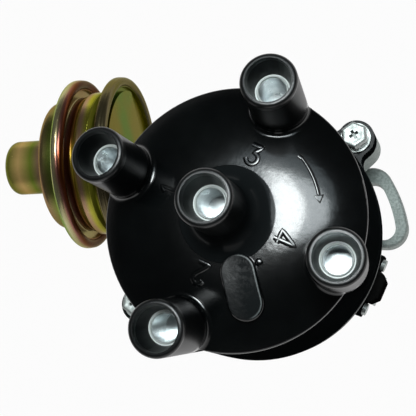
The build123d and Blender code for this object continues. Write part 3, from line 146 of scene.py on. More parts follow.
def noise(place, scale, detail=2.0, roughness=0.5):
    """Cloudy noise of about 0 to 1, scale clouds to a metre."""
    return place.node("TexNoise", None, 0, Vector=place, Scale=scale, Detail=detail, Roughness=roughness)


table_height, table_radius, table_growth = -0.0555, 0.6, 5
table_whiteness = 0.97  # the rest is lit as a surface and keeps the shadow
bpy.ops.mesh.primitive_circle_add(vertices=128, radius=table_radius, fill_type="NGON",
                                  location=(0, 0, table_height))
table = bpy.context.object
table.name = "studio_table"
bpy.ops.object.mode_set(mode="EDIT")
bpy.ops.mesh.extrude_region_move()
bpy.ops.transform.resize(value=(table_growth, table_growth, 1))
bpy.ops.object.mode_set(mode="OBJECT")
bpy.ops.object.transform_apply(location=True, rotation=True, scale=True)
white_table, place = finish("white_table", Base_Color=(0.9, 0.9, 0.9, 1), Roughness=0.9)
rays = white_table.node_tree.nodes.new("ShaderNodeLightPath")
seen = Tone(rays.outputs["Is Camera Ray"]) + Tone(rays.outputs["Is Glossy Ray"]) \
    + Tone(rays.outputs["Is Transmission Ray"])
white = seen.node("Emission", None, 0, Color=(1, 1, 1, 1), Strength=1.0)
body = Tone(white_table.node_tree.nodes["Principled BSDF"].outputs[0])
keeps_shadow = seen.node("MixShader", None, 0, _0=seen.limited() * table_whiteness, _1=body, _2=white)
white_table.node_tree.links.new(keeps_shadow.socket, white_table.node_tree.nodes["Material Output"].inputs[0])
table.data.materials.append(white_table)
bpy.ops.object.select_all(action="DESELECT")

room_light, less_in_gloss, glare_strength, card_strength = 0.25, 0.23, 0.18, 0.6
world = bpy.data.worlds.new("studio_room")
bpy.context.scene.world = world
world.use_nodes = True
room = world.node_tree.nodes["Background"]
rays = world.node_tree.nodes.new("ShaderNodeLightPath")
seen = (Tone(rays.outputs["Is Camera Ray"]) + Tone(rays.outputs["Is Transmission Ray"])).limited()
direction = Tone(world.node_tree.nodes.new("ShaderNodeTexCoord").outputs["Generated"])
glossy = Tone(rays.outputs["Is Glossy Ray"])
low_glare = (1 - direction.axis(2).between(0.05, 0.3)) * glossy
front_card = (0 - direction.axis(1)).between(0.84, 0.93) * glossy
unseen = room_light - less_in_gloss * glossy + low_glare * glare_strength + front_card * card_strength
strength = seen + (1 - seen) * unseen
world.node_tree.links.new(strength.socket, room.inputs["Strength"])
room.inputs["Color"].default_value = (1, 1, 1, 1)

for name, width, length, power, spot, tint in (
        ("soft_box_overhead", 0.76, 0.42, 6.2, (0.2, 0.215, 1.075), (0.9, 0.98, 1.0)),
        ("soft_box_middle", 0.36, 0.34, 4.6, (0.05, 0.2, 1.07), (0.96, 1.0, 1.0)),
        ("soft_box_fringe", 0.95, 0.66, 2.2, (0.24, 0.33, 1.08), (0.78, 0.93, 1.0))):
    lamp = bpy.data.lights.new(name, "AREA")
    lamp.shape, lamp.size, lamp.size_y, lamp.energy = "ELLIPSE", width, length, power
    lamp.color = tint
    soft_box = bpy.data.objects.new(name, lamp)
    bpy.context.collection.objects.link(soft_box)
    soft_box.location = spot


# ---- Housing
# One die casting in an aluminium alloy: neck, flange, bowl and clamping ear. Its blasted skin is
# matt, finely pitted and unevenly dulled. Painted shade darkens the wall just under the cap's foot
# and the bowl inside it, and takes away its metal look there.
MM = 0.001


def dress(material, *nodes):
    """Puts a finish on CAD nodes."""
    for node in nodes:
        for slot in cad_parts[node].material_slots:
            slot.material = material


def distance(across, along):
    """Distance from an axis, out of the two coordinates square to it."""
    squares = across * across + along * along
    return squares.node("Math", {"operation": "SQRT"}, _0=squares)


shade_height, bowl_reach = 24 * MM, 42.4 * MM
casting, place = finish("blasted_casting")
grain = noise(place, 2200, 3, 0.6)
dulled = noise(place, 1100, 4, 0.65)
x, y, z = place.axis(0), place.axis(1), place.axis(2)
# Painted shade: above this height, within the bowl's reach, the casting is painted dark and less metallic.
in_bowl = 1 - distance(x, y).between(bowl_reach - 0.2 * MM, bowl_reach + 0.2 * MM)
under_cap = z.between(shade_height - 1.5 * MM, shade_height) * in_bowl
alloy = dulled.between(0.35, 0.65).blend((0.24, 0.275, 0.26), (0.36, 0.40, 0.38))
lay(casting, Base_Color=under_cap.blend(alloy, (0.09, 0.1, 0.095)), Metallic=0.8 - 0.7 * under_cap,
    Roughness=0.5 + grain * 0.2, relief=grain, depth=0.0003)
dress(casting, "housing")

# ---- Seals
# The O-ring in the neck's groove, the flat seal under the cap and the two diaphragms are black
# rubber, matt with a slight bloom. The diaphragms are clamped in the crimped rims of the cans.
rubber, place = finish("black_rubber", Base_Color=(0.02, 0.02, 0.021, 1))
bloom = noise(place, 300, 3)
lay(rubber, Base_Color=bloom.between(0.35, 0.7).blend((0.014, 0.014, 0.015), (0.035, 0.034, 0.034)),
    Roughness=0.55 + bloom * 0.25, relief=noise(place, 1500), depth=0.00005)
dress(rubber, "neck_o_ring", "cap_seal", "outer_diaphragm", "inner_diaphragm")

# ---- Bushes
# Two sintered bronze bushes pressed into the neck, one at each end of it. Their fine open pores
# hold the oil for the shaft.
bronze, place = finish("sintered_bronze", Metallic=1.0)
pores = noise(place, 4000, 2)
lay(bronze, Base_Color=pores.between(0.35, 0.6).blend((0.25, 0.15, 0.07), (0.62, 0.40, 0.20)),
    Roughness=0.35 + pores * 0.2, relief=pores, depth=0.00008)
dress(bronze, "upper_bush", "lower_bush")


# ---- Shaft, gear and governor
# Ground steel for the shaft and gear, pressed steel for the weights and plates. Turning leaves
# fine rings round the shaft's axis, and oil leaves a faint stain.
def lathe_rings(place, to_a_metre, detail):
    """Rings of about 0 to 1 left by turning, one above the other."""
    height = place.axis(2) * to_a_metre
    return height.node("TexNoise", {"noise_dimensions": "1D"}, 0, W=height, Scale=1.0, Detail=detail)


steel, place = finish("oiled_steel", Metallic=1.0)
rings = lathe_rings(place, 9000, 1.0)
stain = noise(place, 90, 4)
lay(steel, Base_Color=stain.between(0.35, 0.75).blend((0.50, 0.50, 0.51), (0.34, 0.335, 0.33)),
    Roughness=0.22 + rings * 0.12 + stain * 0.12, relief=rings, depth=0.00002)
dress(steel, "drive_shaft", "drive_gear", "gear_roll_pin", "thrust_washer", "lower_thrust_washer",
      "governor_plate", "flyweight_a", "flyweight_b", "flyweight_clips", "governor_springs",
      "rotor_sleeve", "sleeve_washer", "sleeve_screw", "base_plate", "advance_plate",
      "pickup_stator", "reluctor", "vacuum_spring")

# ---- Pickup
# A pressed and fired ferrite magnet under the stator, and a winding of enamelled copper wire, laid
# on its bobbin turn by turn.
magnet, place = finish("ferrite_magnet")
speck = noise(place, 1800, 4)
lay(magnet, Base_Color=speck.blend((0.03, 0.028, 0.027), (0.075, 0.07, 0.068)), Roughness=0.5 + speck * 0.2,
    relief=speck, depth=0.00005)
dress(magnet, "pickup_magnet")
wire_pitch = 0.22 * MM
winding, place = finish("enamelled_copper", Metallic=0.9)
wound = place.axis(2) * (2 * math.pi / wire_pitch)
turns = wound.node("Math", {"operation": "SINE"}, _0=wound)
# Painted shade: the colour darkens from copper to brown in the grooves between the turns.
lay(winding, Base_Color=(turns * 0.5 + 0.5).blend((0.16, 0.05, 0.02), (0.55, 0.2, 0.07)),
    Roughness=0.3 + turns * 0.05, relief=turns, depth=0.00006)
dress(winding, "coil_winding")

# ---- Rotor
# The rotor arm is moulded in brown phenolic resin with a brass blade riveted on top. A pressed
# carbon brush, held down by a brass spring in the cap, rests on the blade.
brown_resin, place = finish("brown_phenolic")
flow = noise(place, 160, 5, 0.6)
lay(brown_resin, Base_Color=flow.between(0.3, 0.7).blend((0.16, 0.055, 0.03), (0.10, 0.033, 0.02)),
    Roughness=0.3 + flow * 0.2, relief=noise(place, 900), depth=0.00004)
dress(brown_resin, "rotor")
brass, place = finish("rolled_brass", Metallic=1.0)
tarnish = noise(place, 220, 4)
lay(brass, Base_Color=tarnish.between(0.35, 0.8).blend((0.78, 0.56, 0.22), (0.50, 0.33, 0.13)),
    Roughness=0.22 + tarnish * 0.2, relief=noise(place, 2200), depth=0.00002)
dress(brass, "rotor_blade", "brush_spring")
carbon, place = finish("pressed_carbon")
soot = noise(place, 2500, 3)
lay(carbon, Base_Color=soot.blend((0.012, 0.012, 0.012), (0.05, 0.05, 0.052)), Roughness=0.4 + soot * 0.25,
    relief=soot, depth=0.00004)
dress(carbon, "carbon_brush")

# ---- Cap
# Black glass-filled resin, moulded in one piece with its towers, ears and raised marks. Its skin
# is glossy with the slight orange peel of a polished mould. The towers are satin below their
# lips, and the skirt, the ears and the pad are left as spark-eroded in the mould.
shoulder_reach, shoulder_height = 42.0 * MM, 68.5 * MM
dome_centre, dome_sweep = (13.6204 * MM, 22.3388 * MM), 54.187 * MM
skirt_lean = 0.4 / 36.5
pad_azimuth, pad_inner, pad_outer, pad_half = math.radians(-78.5), 18.3 * MM, 27.7 * MM, 5.3 * MM
plug_lip_height, coil_lip_height, lip_softness = 92.4 * MM, 102.2 * MM, 0.4 * MM
hub_radius, ear_top = 15.1 * MM, 39.5 * MM
ear_reach, ear_azimuths = 46.5 * MM, (41.0, 209.5)


def round_screws(x, y, near, far):
    """1 within near of either cap screw's axis, and 0 beyond far."""
    masks = []
    for azimuth in ear_azimuths:
        a = math.radians(azimuth)
        from_screw = distance(x - ear_reach * math.cos(a), y - ear_reach * math.sin(a))
        masks.append(1 - from_screw.between(near, far))
    return masks[0] + masks[1]


black_resin, place = finish("black_cap_resin", IOR=1.6)
peel = noise(place, 380, 3, 0.55)
haze = noise(place, 60, 3)
mould_grain = noise(place, 1100, 3, 0.65)
patches = noise(place, 650, 4, 0.65).between(0.42, 0.6)
x, y, z = place.axis(0), place.axis(1), place.axis(2)
reach = distance(x, y)
above_shoulder = z.between(68 * MM, 69 * MM)

# The pad is a flat oval pressed into the dome, with a painted highlight along its edge on one side.
along = x * math.cos(pad_azimuth) + y * math.sin(pad_azimuth)
across = y * math.cos(pad_azimuth) - x * math.sin(pad_azimuth)
beyond = along - along.node("Clamp", None, 0, Value=along, Min=pad_inner, Max=pad_outer)
from_pad = distance(beyond, across)
on_pad = (1 - from_pad.between(pad_half - 0.3 * MM, pad_half)) * above_shoulder
pad_edge = from_pad.between(4.5 * MM, 4.8 * MM) * (1 - from_pad.between(4.95 * MM, 5.15 * MM))
pad_edge_highlight = pad_edge * across.between(-1 * MM, 3 * MM) * above_shoulder
shaded = across.between(-4 * MM, 2.5 * MM) * 0.8 + along.between(20 * MM, 32 * MM) * 0.3 + patches * 0.3
shaded_pad = (on_pad * shaded).limited()

plug_lips = reach.between(18 * MM, 19 * MM) \
    * z.between(plug_lip_height - lip_softness, plug_lip_height + lip_softness)
lip = (plug_lips + z.between(coil_lip_height - lip_softness, coil_lip_height + lip_softness)).limited()
resin_colour = haze.between(0.3, 0.8).blend((0.0007, 0.001, 0.0011), (0.002, 0.0027, 0.0028))
# The pale grey along one side of the pad's edge is a painted highlight.
lay(black_resin, Base_Color=pad_edge_highlight.blend(resin_colour, (0.09, 0.105, 0.105)),
    Roughness=0.09 + haze * 0.08 + peel * 0.04 + on_pad * (0.14 + mould_grain * 0.3) + lip * 0.2,
    relief=peel + on_pad * mould_grain * 2.5, depth=0.00003)

above_dome = distance(reach - dome_centre[0], z - dome_centre[1]) - dome_sweep
satin = above_dome.between(2.3 * MM, 3.5 * MM) * (1 - lip)
satin = satin.sum("MAXIMUM", satin, noise(place, 900, 4, 0.7) * 0.3 - 0.03)
tree = black_resin.node_tree
upright = Tone(tree.nodes.new("ShaderNodeTexCoord").outputs["Normal"]).axis(2).between(0.35, 0.7)
on_skirt = (1 - z.between(67.6 * MM, 68.0 * MM)) * (1 - upright)
hub = (1 - reach.between(hub_radius - 0.2 * MM, hub_radius + 0.2 * MM)) * (1 - z.between(86 * MM, 96 * MM))
on_ear = (1 - z.between(ear_top - 0.5 * MM, ear_top + 0.5 * MM)) * upright
under_screw = on_ear * round_screws(x, y, 5.0 * MM, 6.0 * MM)
eroded = on_skirt - pad_edge_highlight + hub * (1 - on_pad) * 0.8 + shaded_pad * (1 - pad_edge_highlight) * 0.92
eroded = (eroded + on_ear * 0.93 - under_screw * 0.02).limited()


def skin(colour, roughness, level, index):
    """Another skin of the same resin, even all over."""
    shader = tree.nodes.new("ShaderNodeBsdfPrincipled")
    shader.inputs["Base Color"].default_value = (*colour, 1)
    shader.inputs["Roughness"].default_value = roughness
    shader.inputs["Specular IOR Level"].default_value = level
    shader.inputs["IOR"].default_value = index
    return Tone(shader.outputs[0])


satin_skin = skin((0.0012, 0.0016, 0.0018), 0.36, 0.2, 1.45)
eroded_skin = skin((0.0075, 0.009, 0.0095), 0.6, 0.0, 1.4)
polished_skin = Tone(tree.nodes["Principled BSDF"].outputs[0])
towers = satin.node("MixShader", None, 0, _0=satin, _1=polished_skin, _2=satin_skin)
whole_cap = eroded.node("MixShader", None, 0, _0=eroded, _1=towers, _2=eroded_skin)
tree.links.new(whole_cap.socket, tree.nodes["Material Output"].inputs[0])
dress(black_resin, "cap")


def edit():
    bpy.ops.object.mode_set(mode="EDIT")


def done():
    bpy.ops.object.mode_set(mode="OBJECT")


def settle(piece, name, material, body, angle=35):
    """Names a finished piece, puts it at the origin, smooths it and lets it ride on its body."""
    bpy.ops.object.transform_apply(location=True, rotation=True, scale=True)
    bpy.ops.object.shade_smooth_by_angle(angle=math.radians(angle))
    piece.name = name
    piece.data.materials.clear()
    piece.data.materials.append(material)
    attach(piece, body)
    bpy.ops.object.select_all(action="DESELECT")


def over_cap(reach, height):
    """Distance of a point from the cap's dome or skirt, and the way out from it, as (reach, height)."""
    from_centre = Vector((reach - dome_centre[0], height - dome_centre[1]))
    edge = Vector((shoulder_reach - dome_centre[0], shoulder_height - dome_centre[1]))
    if from_centre.x * edge.y < from_centre.y * edge.x:
        return from_centre.length - dome_sweep, from_centre.normalized()
    if height > shoulder_height:
        corner = Vector((reach - shoulder_reach, height - shoulder_height))
        return corner.length, corner.normalized()
    return reach - shoulder_reach - skirt_lean * (shoulder_height - height), Vector((1, 0))


# The fillets round the feet of the plug towers: each is a grid laid along the tower's foot and
# rolled into the corner between tower and dome, then given a thickness into the resin.
tower_radius, tower_reach, tower_height = 8.7 * MM, 39.7 * MM, 94.6 * MM
tower_splay = math.radians(6.8)
tower_azimuths = {1: 154.7, 3: 64.7, 4: 334.7, 2: 244.7}
foot_fillet, fillet_wall = 1.7 * MM, 0.4 * MM
fillet_sides, fillet_steps, fillet_looks = 120, 8, 200
shallowest_foot, deepest_foot, foot_step = 12 * MM, 46 * MM, 0.5 * MM


def tower_frame(number):
    """Mouth, axis, outward side and cross side of a plug tower."""
    a = math.radians(tower_azimuths[number])
    radial = Vector((math.cos(a), math.sin(a), 0))
    axis = radial * math.sin(tower_splay) + Vector((0, 0, math.cos(tower_splay)))
    side = radial * math.cos(tower_splay) - Vector((0, 0, math.sin(tower_splay)))
    mouth = radial * tower_reach + Vector((0, 0, tower_height))
    return mouth, axis, side, axis.cross(side)


def rolled(number, turn):
    """Centre and two ends of the fillet's arc at a turn round the tower, or None where it ends."""
    mouth, axis, side, cross = tower_frame(number)
    out = side * math.cos(turn) + cross * math.sin(turn)
    start = mouth + out * (tower_radius + foot_fillet)

    def clearance(depth):
        point = start - axis * depth
        return over_cap(math.hypot(point.x, point.y), point.z)[0] - foot_fillet

    depth, step = shallowest_foot, foot_step
    while clearance(depth) > 0:
        depth += step
        if depth > deepest_foot:
            return None
    for _ in range(20):
        step /= 2
        depth += -step if clearance(depth) < 0 else step
    centre = start - axis * depth
    reach = math.hypot(centre.x, centre.y)
    lean = over_cap(reach, centre.z)[1]
    down = Vector((centre.x / reach * lean.x, centre.y / reach * lean.x, lean.y))
    return centre, -out, -down


for number in tower_azimuths:
    last = math.pi
    for look in range(fillet_looks):
        turn = math.pi * (1 - look / fillet_looks)
        if not rolled(number, turn):
            break
        last = turn
    bpy.ops.mesh.primitive_grid_add(x_subdivisions=fillet_sides, y_subdivisions=fillet_steps, size=2)
    fillet = bpy.context.object
    for vertex in fillet.data.vertices:
        share, way = (vertex.co.x + 1) / 2, (vertex.co.y + 1) / 2
        turn = last + (2 * math.pi - 2 * last) * share
        centre, wall, down = rolled(number, min(max(turn, last), 2 * math.pi - last))
        bent = wall.slerp(down, way, wall) if wall.angle(down) > 1e-3 else wall
        vertex.co = centre + bent * foot_fillet
    fillet.data.update()
    middle = fillet.data.polygons[len(fillet.data.polygons) // 2]
    if middle.normal.dot(tower_frame(number)[1]) < 0:
        edit()
        bpy.ops.mesh.select_all(action="SELECT")
        bpy.ops.mesh.flip_normals()
        done()
    thick = fillet.modifiers.new("thickness", "SOLIDIFY")
    thick.thickness, thick.offset = fillet_wall, -1
    bpy.ops.object.modifier_apply(modifier="thickness")
    settle(fillet, f"tower_{number}_foot_fillet", black_resin, "housing", 60)

# Raised marks on the dome: the lead numbers beside their towers and the arrow that shows which
# way the rotor turns. They were engraved in the mould with a flat-nosed cutter, so each stroke is
# a flat-topped bead with sloping sides, moulded with the cap.
digit_reach, stroke_radius, stroke_top = 19.9 * MM, 0.88 * MM, 0.5 * MM
arrow_reach, arrow_start, arrow_end = 28.5 * MM, 35.4, 10.0
arrow_radius, arrow_top, arrow_head_radius = 0.64 * MM, 0.4 * MM, 2.0 * MM
longest_step = 0.8 * MM
bead_sink = 0.3  # the share of its radius that a bead lies deeper in the dome


def arc(middle, radius, first, last, pieces):
    """Points of an arc from one angle to another, in degrees."""
    turns = [math.radians(first + (last - first) * k / pieces) for k in range(pieces + 1)]
    return [(middle[0] + radius * math.cos(t), middle[1] + radius * math.sin(t)) for t in turns]


# Strokes of each number in millimetres, across and up from its middle
digit_strokes = {
    1: [(-1.3, 1.7), (0.0, 3.3), (0.0, -3.3)],
    2: arc((0.0, 1.6), 1.7, 165, -25, 9) + [(0.4, -0.6), (-1.8, -3.3), (1.9, -3.3)],
    3: [(-1.7, 3.1), (1.7, 3.1), (-0.2, 0.7)] + arc((-0.1, -1.2), 1.9, 84, -165, 13),
    4: [(0.9, -3.4), (0.9, 3.4), (-2.1, -1.9), (2.1, -1.9)],
}


def dome_height(point):
    reach = math.hypot(point.x, point.y)
    return dome_centre[1] + math.sqrt(dome_sweep ** 2 - (reach - dome_centre[0]) ** 2)


def press_on_dome(piece, lift=0.0, top=1.0):
    """Drops a flat piece on the dome, so that its XY plane lies on the resin."""
    for vertex in piece.data.vertices:
        vertex.co.z = min(vertex.co.z + lift, top) + dome_height(vertex.co)
    piece.data.update()


def bead(points, radius, top):
    """A flat-topped bead along points (x, y), pressed on the dome."""
    bpy.ops.mesh.primitive_plane_add(size=MM, location=(0, 0, 0))
    edit()
    bpy.ops.mesh.merge(type="CENTER")
    bpy.ops.transform.translate(value=(*points[0], 0))
    for here, there in zip(points, points[1:]):
        way = Vector(there) - Vector(here)
        steps = max(1, round(way.length / longest_step))
        for _ in range(steps):
            bpy.ops.mesh.extrude_region_move(TRANSFORM_OT_translate={"value": (*(way / steps), 0)})
    done()
    bpy.ops.object.convert(target="CURVE")
    line = bpy.context.object.data
    line.dimensions, line.use_fill_caps = "3D", True
    line.bevel_depth, line.bevel_resolution = radius, 8
    bpy.ops.object.convert(target="MESH")
    piece = bpy.context.object
    press_on_dome(piece, -bead_sink * radius, top)
    return piece


for number, strokes in digit_strokes.items():
    a = math.radians(tower_azimuths[number])
    up, right = Vector((math.cos(a), math.sin(a))), Vector((math.sin(a), -math.cos(a)))
    points = [up * (digit_reach + v * MM) + right * u * MM for u, v in strokes]
    settle(bead(points, stroke_radius, stroke_top), f"raised_digit_{number}", black_resin, "housing",
           30)

arrow_line = [Vector(p) for p in arc((0, 0), arrow_reach, arrow_start, arrow_end, 16)]
settle(bead(arrow_line, arrow_radius, arrow_top), "arrow_shaft", black_resin, "housing", 30)
tail_start = arrow_line[0] + Vector((-1.0, 0.9)) * MM
settle(bead([tail_start, arrow_line[0]], stroke_radius, stroke_top), "arrow_tail", black_resin, "housing",
       30)

tip = math.radians(arrow_end - 1.9)
head_sink, head_rise, head_slope, head_inset, head_bevel = 0.4 * MM, 0.82 * MM, 0.8, 0.3 * MM, 0.12 * MM
bpy.ops.mesh.primitive_circle_add(vertices=3, radius=arrow_head_radius, fill_type="NGON",
                                  location=(arrow_reach * math.cos(tip), arrow_reach * math.sin(tip), -head_sink),
                                  rotation=(0, 0, tip + math.pi), scale=(1.1, 0.85, 1))
head = bpy.context.object
edit()
bpy.ops.mesh.extrude_region_move(TRANSFORM_OT_translate={"value": (0, 0, head_rise)})
bpy.ops.transform.resize(value=(head_slope, head_slope, 1))
bpy.ops.mesh.inset(thickness=head_inset)
bpy.ops.mesh.select_all(action="SELECT")
bpy.ops.mesh.normals_make_consistent(inside=False)
done()
bpy.ops.object.transform_apply(location=True, rotation=True, scale=True)
rounding = head.modifiers.new("rounding", "BEVEL")
rounding.width, rounding.segments = head_bevel, 2
bpy.ops.object.modifier_apply(modifier="rounding")
press_on_dome(head)
settle(head, "arrow_head", black_resin, "housing", 30)

# The small round nib on the cap, where the resin ran into the mould.
nib_radius, nib_spot, nib_turn = 1.35 * MM, (9.8 * MM, -15.2 * MM, -0.6 * MM), math.radians(-38)
bpy.ops.mesh.primitive_circle_add(vertices=32, radius=nib_radius, fill_type="NGON", location=nib_spot,
                                  rotation=(0, 0, nib_turn), scale=(1.8, 1, 1))
nib = bpy.context.object
edit()
for rise, share in ((0.6 * MM, 0.95), (0.25 * MM, 0.8), (0.12 * MM, 0.6)):
    bpy.ops.mesh.extrude_region_move(TRANSFORM_OT_translate={"value": (0, 0, rise)})
    bpy.ops.transform.resize(value=(share, share, 1))
bpy.ops.mesh.select_all(action="SELECT")
bpy.ops.mesh.normals_make_consistent(inside=False)
done()
bpy.ops.object.transform_apply(location=True, rotation=True, scale=True)
press_on_dome(nib)
settle(nib, "moulding_nib", black_resin, "housing", 60)

# ---- Cap terminals
# Turned aluminium inserts moulded into the towers, bright, with fine rings from the lathe. The
# flat face round each bore is cut rough, so it is pale and dull.
cut_face_height = 84.2 * MM
insert_metal, place = finish("turned_aluminium", Metallic=1.0)
streak = noise(place, 260, 3)
fine_rings = lathe_rings(place, 5200, 2.0)
turned = Tone(insert_metal.node_tree.nodes.new("ShaderNodeTexCoord").outputs["Normal"]).axis(2)
cut_end = turned.between(0.8, 0.95) * place.axis(2).between(cut_face_height, cut_face_height + 0.3 * MM)
bright = streak.between(0.3, 0.7).blend((0.60, 0.63, 0.63), (0.42, 0.46, 0.47))
lay(insert_metal, Base_Color=cut_end.blend(bright, (0.58, 0.62, 0.60)), Metallic=1 - cut_end * 0.75,
    Roughness=0.2 + streak * 0.12 + fine_rings * 0.06 + cut_end * 0.3, relief=fine_rings, depth=0.00003)
dress(insert_metal, "plug_terminal_1", "plug_terminal_2", "plug_terminal_3", "plug_terminal_4", "coil_terminal")

# Each terminal's mouth has a small turned lip, spun from its section round the bore.
lip_depth, coil_mouth_height = 9.0 * MM, 104.5 * MM
lip_section = ((4.28, 0.0), (4.28, 0.32), (4.42, 0.5), (4.68, 0.5), (4.85, 0.3), (4.85, 0.0))


def turned_ring(section, mouth, axis, sides=96):
    """Spins a section of (reach, height) in millimetres round an axis."""
    bpy.ops.mesh.primitive_plane_add(size=MM, location=(0, 0, 0))
    ring = bpy.context.object
    edit()
    bpy.ops.mesh.select_mode(type="VERT")
    bpy.ops.mesh.merge(type="CENTER")
    bpy.ops.transform.translate(value=(section[0][0] * MM, 0, section[0][1] * MM))
    for here, there in zip(section, section[1:]):
        bpy.ops.mesh.extrude_region_move(
            TRANSFORM_OT_translate={"value": ((there[0] - here[0]) * MM, 0, (there[1] - here[1]) * MM)})
    bpy.ops.mesh.select_all(action="SELECT")
    bpy.ops.mesh.spin(steps=sides, angle=2 * math.pi, center=(0, 0, 0), axis=(0, 0, 1))
    bpy.ops.mesh.select_all(action="SELECT")
    bpy.ops.mesh.remove_doubles(threshold=0.001 * MM)
    bpy.ops.mesh.select_all(action="SELECT")
    bpy.ops.mesh.normals_make_consistent(inside=False)
    done()
    ring.matrix_world = Matrix.Translation(mouth) @ axis.to_track_quat("Z", "Y").to_matrix().to_4x4()
    return ring


mouths = {f"plug_{number}": tower_frame(number)[:2] for number in tower_azimuths}
mouths["coil"] = (Vector((0, 0, coil_mouth_height)), Vector((0, 0, 1)))
for name, (mouth, axis) in mouths.items():
    ring = turned_ring(lip_section, mouth - axis * lip_depth, axis)
    settle(ring, f"{name}_terminal_lip", insert_metal, "housing", 50)

# ---- Screws and washers
# Zinc-plated steel, clear passivated, with painted shade in the drivers' recesses. The two cap
# screws are hexagonal, with a dished top and a cross recess, and hold the cap's ears to the lugs
# through spring and plain washers.
hex_corner, hex_low, hex_high = 8.0 * MM / math.sqrt(3), 40.7 * MM, 44.2 * MM
screw_end, shank_radius, hex_turn, cross_turn = 24.0 * MM, 2.5 * MM, 0.4, 0.5
cross_span, cross_width, cross_depth = 4.4 * MM, 1.2 * MM, 2.0 * MM
crown_bevel, dish_rim, dish_depth = 0.9 * MM, 0.6 * MM, 0.15 * MM
zinc, place = finish("clear_zinc", Metallic=1.0)
mottle = noise(place, 500, 4)
x, y, z = place.axis(0), place.axis(1), place.axis(2)
# Painted shade: the cap screws' cross recesses are painted dark.
recess_shade = z.between(40.8 * MM, 41.6 * MM) * (1 - z.between(43.0 * MM, 43.9 * MM)) \
    * round_screws(x, y, 2.7 * MM, 2.9 * MM)
plating = mottle.between(0.3, 0.7).blend((0.50, 0.53, 0.52), (0.34, 0.37, 0.35))
lay(zinc, Base_Color=(recess_shade * 0.6).blend(plating, (0.05, 0.055, 0.05)), Metallic=1 - mottle.between(0.3, 0.7) * 0.3,
    Roughness=0.42 + mottle * 0.16, relief=noise(place, 900), depth=0.00002)
dress(zinc, "cap_screws", "cap_screw_washers", "cap_spring_washers", "base_plate_screws", "pickup_screws",
      "vacuum_screws", "connector_screws", "connector_tabs", "diaphragm_plates")


def choose(piece, wanted):
    """In edit mode, selects only the faces whose normal passes a test."""
    bpy.ops.mesh.select_mode(type="FACE")
    bpy.ops.mesh.select_all(action="DESELECT")
    done()
    for face in piece.data.polygons:
        face.select = wanted(face.normal)
    edit()


def cross_recess(piece, middle):
    """Cuts a driver's cross, narrower at its floor, down into a screw's head."""
    for turn in (0, math.pi / 2):
        bpy.ops.mesh.primitive_cube_add(size=1, location=(0, 0, 0))
        bar = bpy.context.object
        edit()
        bpy.ops.mesh.select_all(action="SELECT")
        bpy.ops.transform.resize(value=(cross_span, cross_width, cross_depth * 2))
        choose(bar, lambda normal: normal.z < -0.9)
        bpy.ops.transform.resize(value=(0.45, 0.7, 1))
        done()
        bar.matrix_world = Matrix.Translation(middle) @ Matrix.Rotation(turn + cross_turn, 4, "Z")
        cut = piece.modifiers.new("recess", "BOOLEAN")
        cut.operation, cut.object, cut.solver = "DIFFERENCE", bar, "EXACT"
        bpy.ops.object.select_all(action="DESELECT")
        piece.select_set(True)
        bpy.context.view_layer.objects.active = piece
        bpy.ops.object.modifier_apply(modifier="recess")
        bpy.data.objects.remove(bar)


for number, azimuth in enumerate(ear_azimuths, start=1):
    a = math.radians(azimuth)
    spot = Vector((ear_reach * math.cos(a), ear_reach * math.sin(a), 0))
    bpy.ops.mesh.primitive_cylinder_add(vertices=6, radius=hex_corner, depth=hex_high - hex_low,
                                        location=spot + Vector((0, 0, (hex_high + hex_low) / 2)),
                                        rotation=(0, 0, a + hex_turn))
    screw = bpy.context.object
    edit()
    choose(screw, lambda normal: normal.z > 0.9)
    bpy.ops.mesh.bevel(offset=crown_bevel, segments=4, affect="EDGES")
    choose(screw, lambda normal: normal.z > 0.99)
    bpy.ops.mesh.inset(thickness=dish_rim)
    bpy.ops.transform.translate(value=(0, 0, -dish_depth))
    choose(screw, lambda normal: normal.z < -0.9)
    bpy.ops.mesh.inset(thickness=hex_corner - shank_radius)
    bpy.ops.mesh.extrude_region_move(TRANSFORM_OT_translate={"value": (0, 0, screw_end - hex_low)})
    done()
    bpy.ops.object.transform_apply(location=True, rotation=True, scale=True)
    cross_recess(screw, spot + Vector((0, 0, hex_high - dish_depth)))
    settle(screw, f"cap_screw_{number}", zinc, "housing", 30)
    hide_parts("cap_screws")

# ---- Vacuum unit
# Pressed steel cans with rolled rims, plated with zinc and yellow chromate, whose film shifts
# from olive to green, pink and straw with its thickness.
can_side, can_height = 29.2 * MM, 29.4 * MM
can_start, can_length = -96 * MM, 52 * MM
disc_radius, disc_seat = 27.2 * MM, -50.5 * MM

# Colours along the unit's axis, each at its place in millimetres
# Mostly the film's tints. The pale band at -64.9 on the outer rim's crest is a painted highlight, and the
# near-black red-brown bands from -62.2 to -60.7 and at -51.6, in the grooves beside the spool, are the film's tint
# darkened with painted shade.
bands = (
    (-93, (0.11, 0.14, 0.018)), (-90.5, (0.15, 0.15, 0.025)), (-86.5, (0.46, 0.30, 0.11)),
    (-82, (0.13, 0.17, 0.02)), (-79, (0.20, 0.12, 0.07)), (-73, (0.28, 0.17, 0.10)),
    (-69.5, (0.17, 0.20, 0.04)), (-66.0, (0.15, 0.27, 0.05)), (-64.9, (0.52, 0.50, 0.27)),
    (-63.8, (0.42, 0.34, 0.18)), (-63, (0.27, 0.11, 0.09)), (-62.2, (0.12, 0.032, 0.012)),
    (-61.5, (0.05, 0.011, 0.003)), (-60.7, (0.12, 0.05, 0.012)), (-59.8, (0.34, 0.27, 0.03)),
    (-57.8, (0.42, 0.25, 0.17)), (-56, (0.40, 0.37, 0.05)), (-53.6, (0.10, 0.11, 0.006)),
    (-52.6, (0.24, 0.2, 0.03)), (-51.6, (0.06, 0.02, 0.004)), (-50, (0.16, 0.135, 0.075)),
    (-46.5, (0.135, 0.108, 0.055)), (-45.5, (0.11, 0.1, 0.008)))
